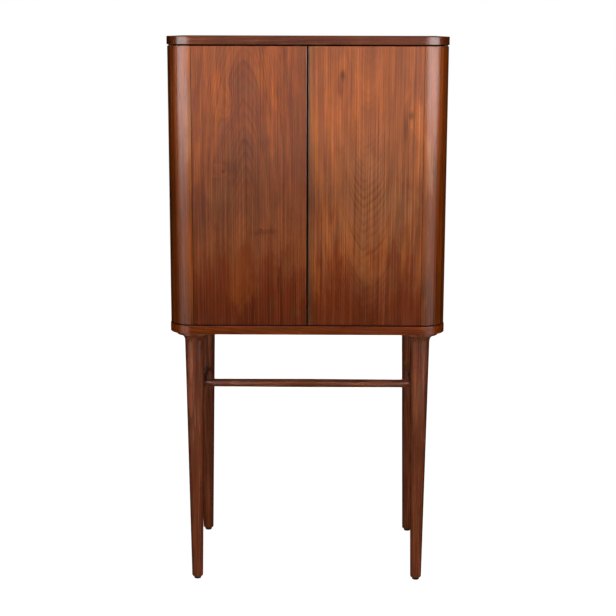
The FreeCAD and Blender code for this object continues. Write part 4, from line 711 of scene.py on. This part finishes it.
strapScrews = {"x": 203.2, "aside": 7.5, "z": 1478}
driveScrews("wall_strap_screws", "low",
            [(mirror * strapScrews["x"] + aside, boxSide("wall_brackets", "+y"), strapScrews["z"])
             for mirror in (-1, 1) for aside in (-strapScrews["aside"], strapScrews["aside"])],
            backward, "carcass", zinc)
latchScrews = {"x": (-30, 30), "y": (-228, -194)}
driveScrews("latch_screws", "raised",
            [(x, y, boxSide("latch_housing_left", "-z"))
             for x in latchScrews["x"] for y in latchScrews["y"]],
            down, "carcass", zinc)
railScrews = {"x": (-188, -94, 0, 94, 188), "y": (-120, 44, 208)}
driveScrews("glass_rail_screws", "raised",
            [(x, y, boxSide("stemware_rail_1", "-z"))
             for x in railScrews["x"] for y in railScrews["y"]],
            down, "carcass", brass)
guideScrews = {"x": (310.4, 352), "y": (-22, 92, 206)}
driveScrews("loper_guide_screws", "raised",
            [(mirror * x, y, boxSide("loper_guide_left", "-z")) for mirror in (-1, 1)
             for x in guideScrews["x"] for y in guideScrews["y"]],
            down, "carcass", brass)
# two upright rows at the sides, then the top, bottom and middle edges, then the divider
backScrews = {"inset": 6, "rows": 7, "x": (-240, -120, 120, 240), "shelf": 1108,
              "divider": (870, 990)}
behind = boxSide("back_panel", "+y")
sideX = boxSide("back_panel", "+x") - backScrews["inset"]
lowZ = boxSide("back_panel", "-z") + backScrews["inset"]
highZ = boxSide("back_panel", "+z") - backScrews["inset"]
backPlaces = []
for row in range(backScrews["rows"]):
    level = lowZ + (highZ - lowZ) * row / (backScrews["rows"] - 1)
    backPlaces += [(-sideX, behind, level), (sideX, behind, level)]
for x in backScrews["x"]:
    backPlaces += [(x, behind, level) for level in (lowZ, highZ, backScrews["shelf"])]
backPlaces += [(0, behind, level)
               for level in (lowZ, *backScrews["divider"], backScrews["shelf"], highZ)]
driveScrews("back_board_screws", "raised", backPlaces, backward, "carcass", zinc)
print("screws driven")

# Camera, at the height of someone standing a few steps away; angles in radians, lens in mm.
view = {"place": (0.0326, -4.0915, 1.5401), "yaw": -0.00787, "pitch": 0.19124,
        "roll": -0.00277, "lens": 83.9, "sensor": 36}
cameraData = bpy.data.cameras.new("camera")
cameraData.lens = view["lens"]
cameraData.sensor_width = view["sensor"]
camera = bpy.data.objects.new("camera", cameraData)
bpy.context.scene.collection.objects.link(camera)
ahead = Vector((math.sin(view["yaw"]) * math.cos(view["pitch"]),
                math.cos(view["yaw"]) * math.cos(view["pitch"]), -math.sin(view["pitch"])))
levelRight = ahead.cross(Vector((0, 0, 1))).normalized()
levelUp = levelRight.cross(ahead)
cosRoll, sinRoll = math.cos(view["roll"]), math.sin(view["roll"])
cameraRight = levelRight * cosRoll - levelUp * sinRoll
cameraUp = levelRight * sinRoll + levelUp * cosRoll
facing = Matrix((cameraRight, cameraUp, -ahead)).transposed()
camera.matrix_world = Matrix.Translation(view["place"]) @ facing.to_4x4()
bpy.context.scene.camera = camera
bpy.context.scene.view_settings.view_transform = "Standard"

# Studio: a high key that a flag keeps off the lower part, a softbox, and a low fill at each side
# that reaches under the case. A bloom card in front and strips at the sides show only in the
# lacquer. A slim beam falls on the legs, and a lamp behind lights the back. Metres, watts, degrees.
lamps = {
    "key": {"place": (0.3, -2.2, 2.9), "aim": (0, -0.25, 1.35), "size": (1.5, 0.6), "power": 58,
            "shines": False},
    "softbox": {"place": (0.1, -3.2, 2.25), "aim": (0, -0.2, 0.4), "size": (1.4, 0.8), "power": 38,
                "shines": False},
    "bloom card": {"place": (0.05, -3.3, 1.3), "aim": (0, -0.27, 1.25), "size": (1.7, 1.0),
                   "power": 4.1, "lights": False},
    "left fill": {"place": (-1.2, -2.6, 0.6), "aim": (0, 0, 0.65), "size": (0.6, 0.5),
                  "power": 7.2, "shines": False},
    "right fill": {"place": (1.2, -2.6, 0.6), "aim": (0, 0, 0.65), "size": (0.6, 0.5),
                   "power": 7.2, "shines": False},
    "left strip": {"place": (-1.46, -1.42, 1.4), "aim": (-0.33, -0.23, 1.38), "size": (1.73, 0.62),
                   "power": 24, "lights": False},
    "right strip": {"place": (1.43, -1.46, 1.42), "aim": (0.4, -0.17, 1.4), "size": (1.6, 0.55),
                    "power": 25.5, "lights": False},
    "left low strip": {"place": (-1.57, -1.28, 0.8), "aim": (-0.36, -0.2, 0.9), "size": (1.4, 0.9),
                       "power": 2.2, "lights": False},
    "right low strip": {"place": (1.51, -1.35, 0.8), "aim": (0.4, -0.17, 0.9),
                        "size": (1.35, 0.9), "power": 2.2, "lights": False},
    "leg light": {"place": (0, -2.4, 0.5), "aim": (0, -0.25, 0.57), "size": (1.1, 0.06),
                  "power": 0.32, "beam": 11, "shines": False},
    "back": {"place": (-0.6, 2.6, 2.7), "aim": (0, 0.2, 1.0), "size": (2.0, 1.4), "power": 30,
             "shines": False},
}
for name, lamp in lamps.items():
    data = bpy.data.lights.new(name, "AREA")
    data.shape = "RECTANGLE"
    data.size, data.size_y = lamp["size"]
    data.energy = lamp["power"]
    data.spread = math.radians(lamp.get("beam", 180))
    light = bpy.data.objects.new(name, data)
    bpy.context.scene.collection.objects.link(light)
    light.location = lamp["place"]
    light.visible_diffuse = lamp.get("lights", True)
    light.visible_glossy = lamp.get("shines", True)
    toward = Vector(lamp["aim"]) - Vector(lamp["place"])
    light.rotation_euler = toward.to_track_quat("-Z", "Y").to_euler()


def seenDirectly(tree):
    # 1 for rays from the camera, a mirror or glass, so that they meet the plain white background
    rays = addNode(tree, "ShaderNodeLightPath")
    total = addNode(tree, "ShaderNodeMath",
                    {0: rays.outputs["Is Camera Ray"], 1: rays.outputs["Is Glossy Ray"]},
                    operation="MAXIMUM")
    return addNode(tree, "ShaderNodeMath", {0: total, 1: rays.outputs["Is Transmission Ray"]},
                   operation="MAXIMUM")


# Plain white behind, and only a little of it falls on the cabinet.
backdrop = {"lights": 0.05, "seen": 1}
world = bpy.data.worlds.new("studio")
bpy.context.scene.world = world
world.use_nodes = True
tree = world.node_tree
tree.nodes.clear()
strength = addNode(tree, "ShaderNodeMapRange",
                   {"Value": seenDirectly(tree), "To Min": backdrop["lights"],
                    "To Max": backdrop["seen"]})
sky = addNode(tree, "ShaderNodeBackground", {"Color": (1, 1, 1, 1), "Strength": strength})
addNode(tree, "ShaderNodeOutputWorld", {"Surface": sky})

# Floor: pale matt paper that takes the shadow of the feet and brightens further out. Sizes in
# metres; patches is how many faint patches of tone lie across the sheet.
paperLook = {"half": 30, "patches": 90, "tones": (0.36, 0.4), "fade": (1.2, 4),
             "glow": (0.95, 1)}
paper, tree = newMaterial("pale studio paper")
grain = addNode(tree, "ShaderNodeTexNoise", {"Scale": paperLook["patches"], "Detail": 2})
tint = addNode(tree, "ShaderNodeMapRange",
               {"Value": grain, "To Min": paperLook["tones"][0], "To Max": paperLook["tones"][1]})
matt = addNode(tree, "ShaderNodeBsdfDiffuse", {"Color": tint})
start = addNode(tree, "ShaderNodeTexCoord").outputs["Object"]
away = addNode(tree, "ShaderNodeVectorMath", {0: start}, operation="LENGTH").outputs["Value"]
brightness = addNode(tree, "ShaderNodeMapRange",
                     {"Value": away, "From Min": paperLook["fade"][0],
                      "From Max": paperLook["fade"][1], "To Min": paperLook["glow"][0],
                      "To Max": paperLook["glow"][1]})
glow = addNode(tree, "ShaderNodeMath", {0: seenDirectly(tree), 1: brightness},
               operation="MULTIPLY")
white = addNode(tree, "ShaderNodeEmission", {"Color": (1, 1, 1, 1), "Strength": glow})
both = addNode(tree, "ShaderNodeAddShader", {0: matt, 1: white})
addNode(tree, "ShaderNodeOutputMaterial", {"Surface": both})


def sheet(name, corners, material):
    mesh = bpy.data.meshes.new(name)
    mesh.from_pydata(corners, [], [(0, 1, 2, 3)])
    mesh.materials.append(material)
    piece = bpy.data.objects.new(name, mesh)
    bpy.context.scene.collection.objects.link(piece)
    return piece


def uprightCorners(start, end, low, high):
    # of a sheet that stands between two places on the floor
    return [(*start, low), (*end, low), (*end, high), (*start, high)]


def levelCorners(left, right, front, back, height):
    return [(left, front, height), (right, front, height), (right, back, height),
            (left, back, height)]


# The dark room behind the camera, which only the lacquer mirrors, in metres. Its sides leave the
# front open for the lamps.
room = {"side": 1.9, "front": -3.6, "open": -0.9, "back": 2.4, "floor": 0.002,
        "heights": {"front": 3.2, "side": 4, "back": 6}, "colour": "#22201F"}
darkCloth, tree = newMaterial("black studio cloth")
cloth = addNode(tree, "ShaderNodeBsdfDiffuse", {"Color": linear(room["colour"])})
addNode(tree, "ShaderNodeOutputMaterial", {"Surface": cloth})
side, front, back, heights = room["side"], room["front"], room["back"], room["heights"]
curtains = {
    "front curtain": uprightCorners((-side, front), (side, front), 0, heights["front"]),
    "floor cloth": levelCorners(-side, side, front, back, room["floor"]),
    "left curtain": uprightCorners((-side, room["open"]), (-side, back), 0, heights["side"]),
    "right curtain": uprightCorners((side, room["open"]), (side, back), 0, heights["side"]),
    "back curtain": uprightCorners((-side, back), (side, back), 0, heights["back"]),
}
for name, corners in curtains.items():
    curtain = sheet(name, corners, darkCloth)
    curtain.visible_camera = False
    curtain.visible_diffuse = False
    curtain.visible_shadow = False
flagPlace = {"left": -1.4, "right": 1.6, "front": -0.8, "low": 0.9, "high": 1.4}
flagStart, flagEnd = ((flagPlace[end], flagPlace["front"]) for end in ("left", "right"))
flag = sheet("flag below the key",
             uprightCorners(flagStart, flagEnd, flagPlace["low"], flagPlace["high"]), darkCloth)
flag.visible_camera = False
flag.visible_diffuse = False
flag.visible_glossy = False
half = paperLook["half"]
floor = sheet("floor", levelCorners(-half, half, -half, half, 0), paper)
print("camera, lamps and floor made")
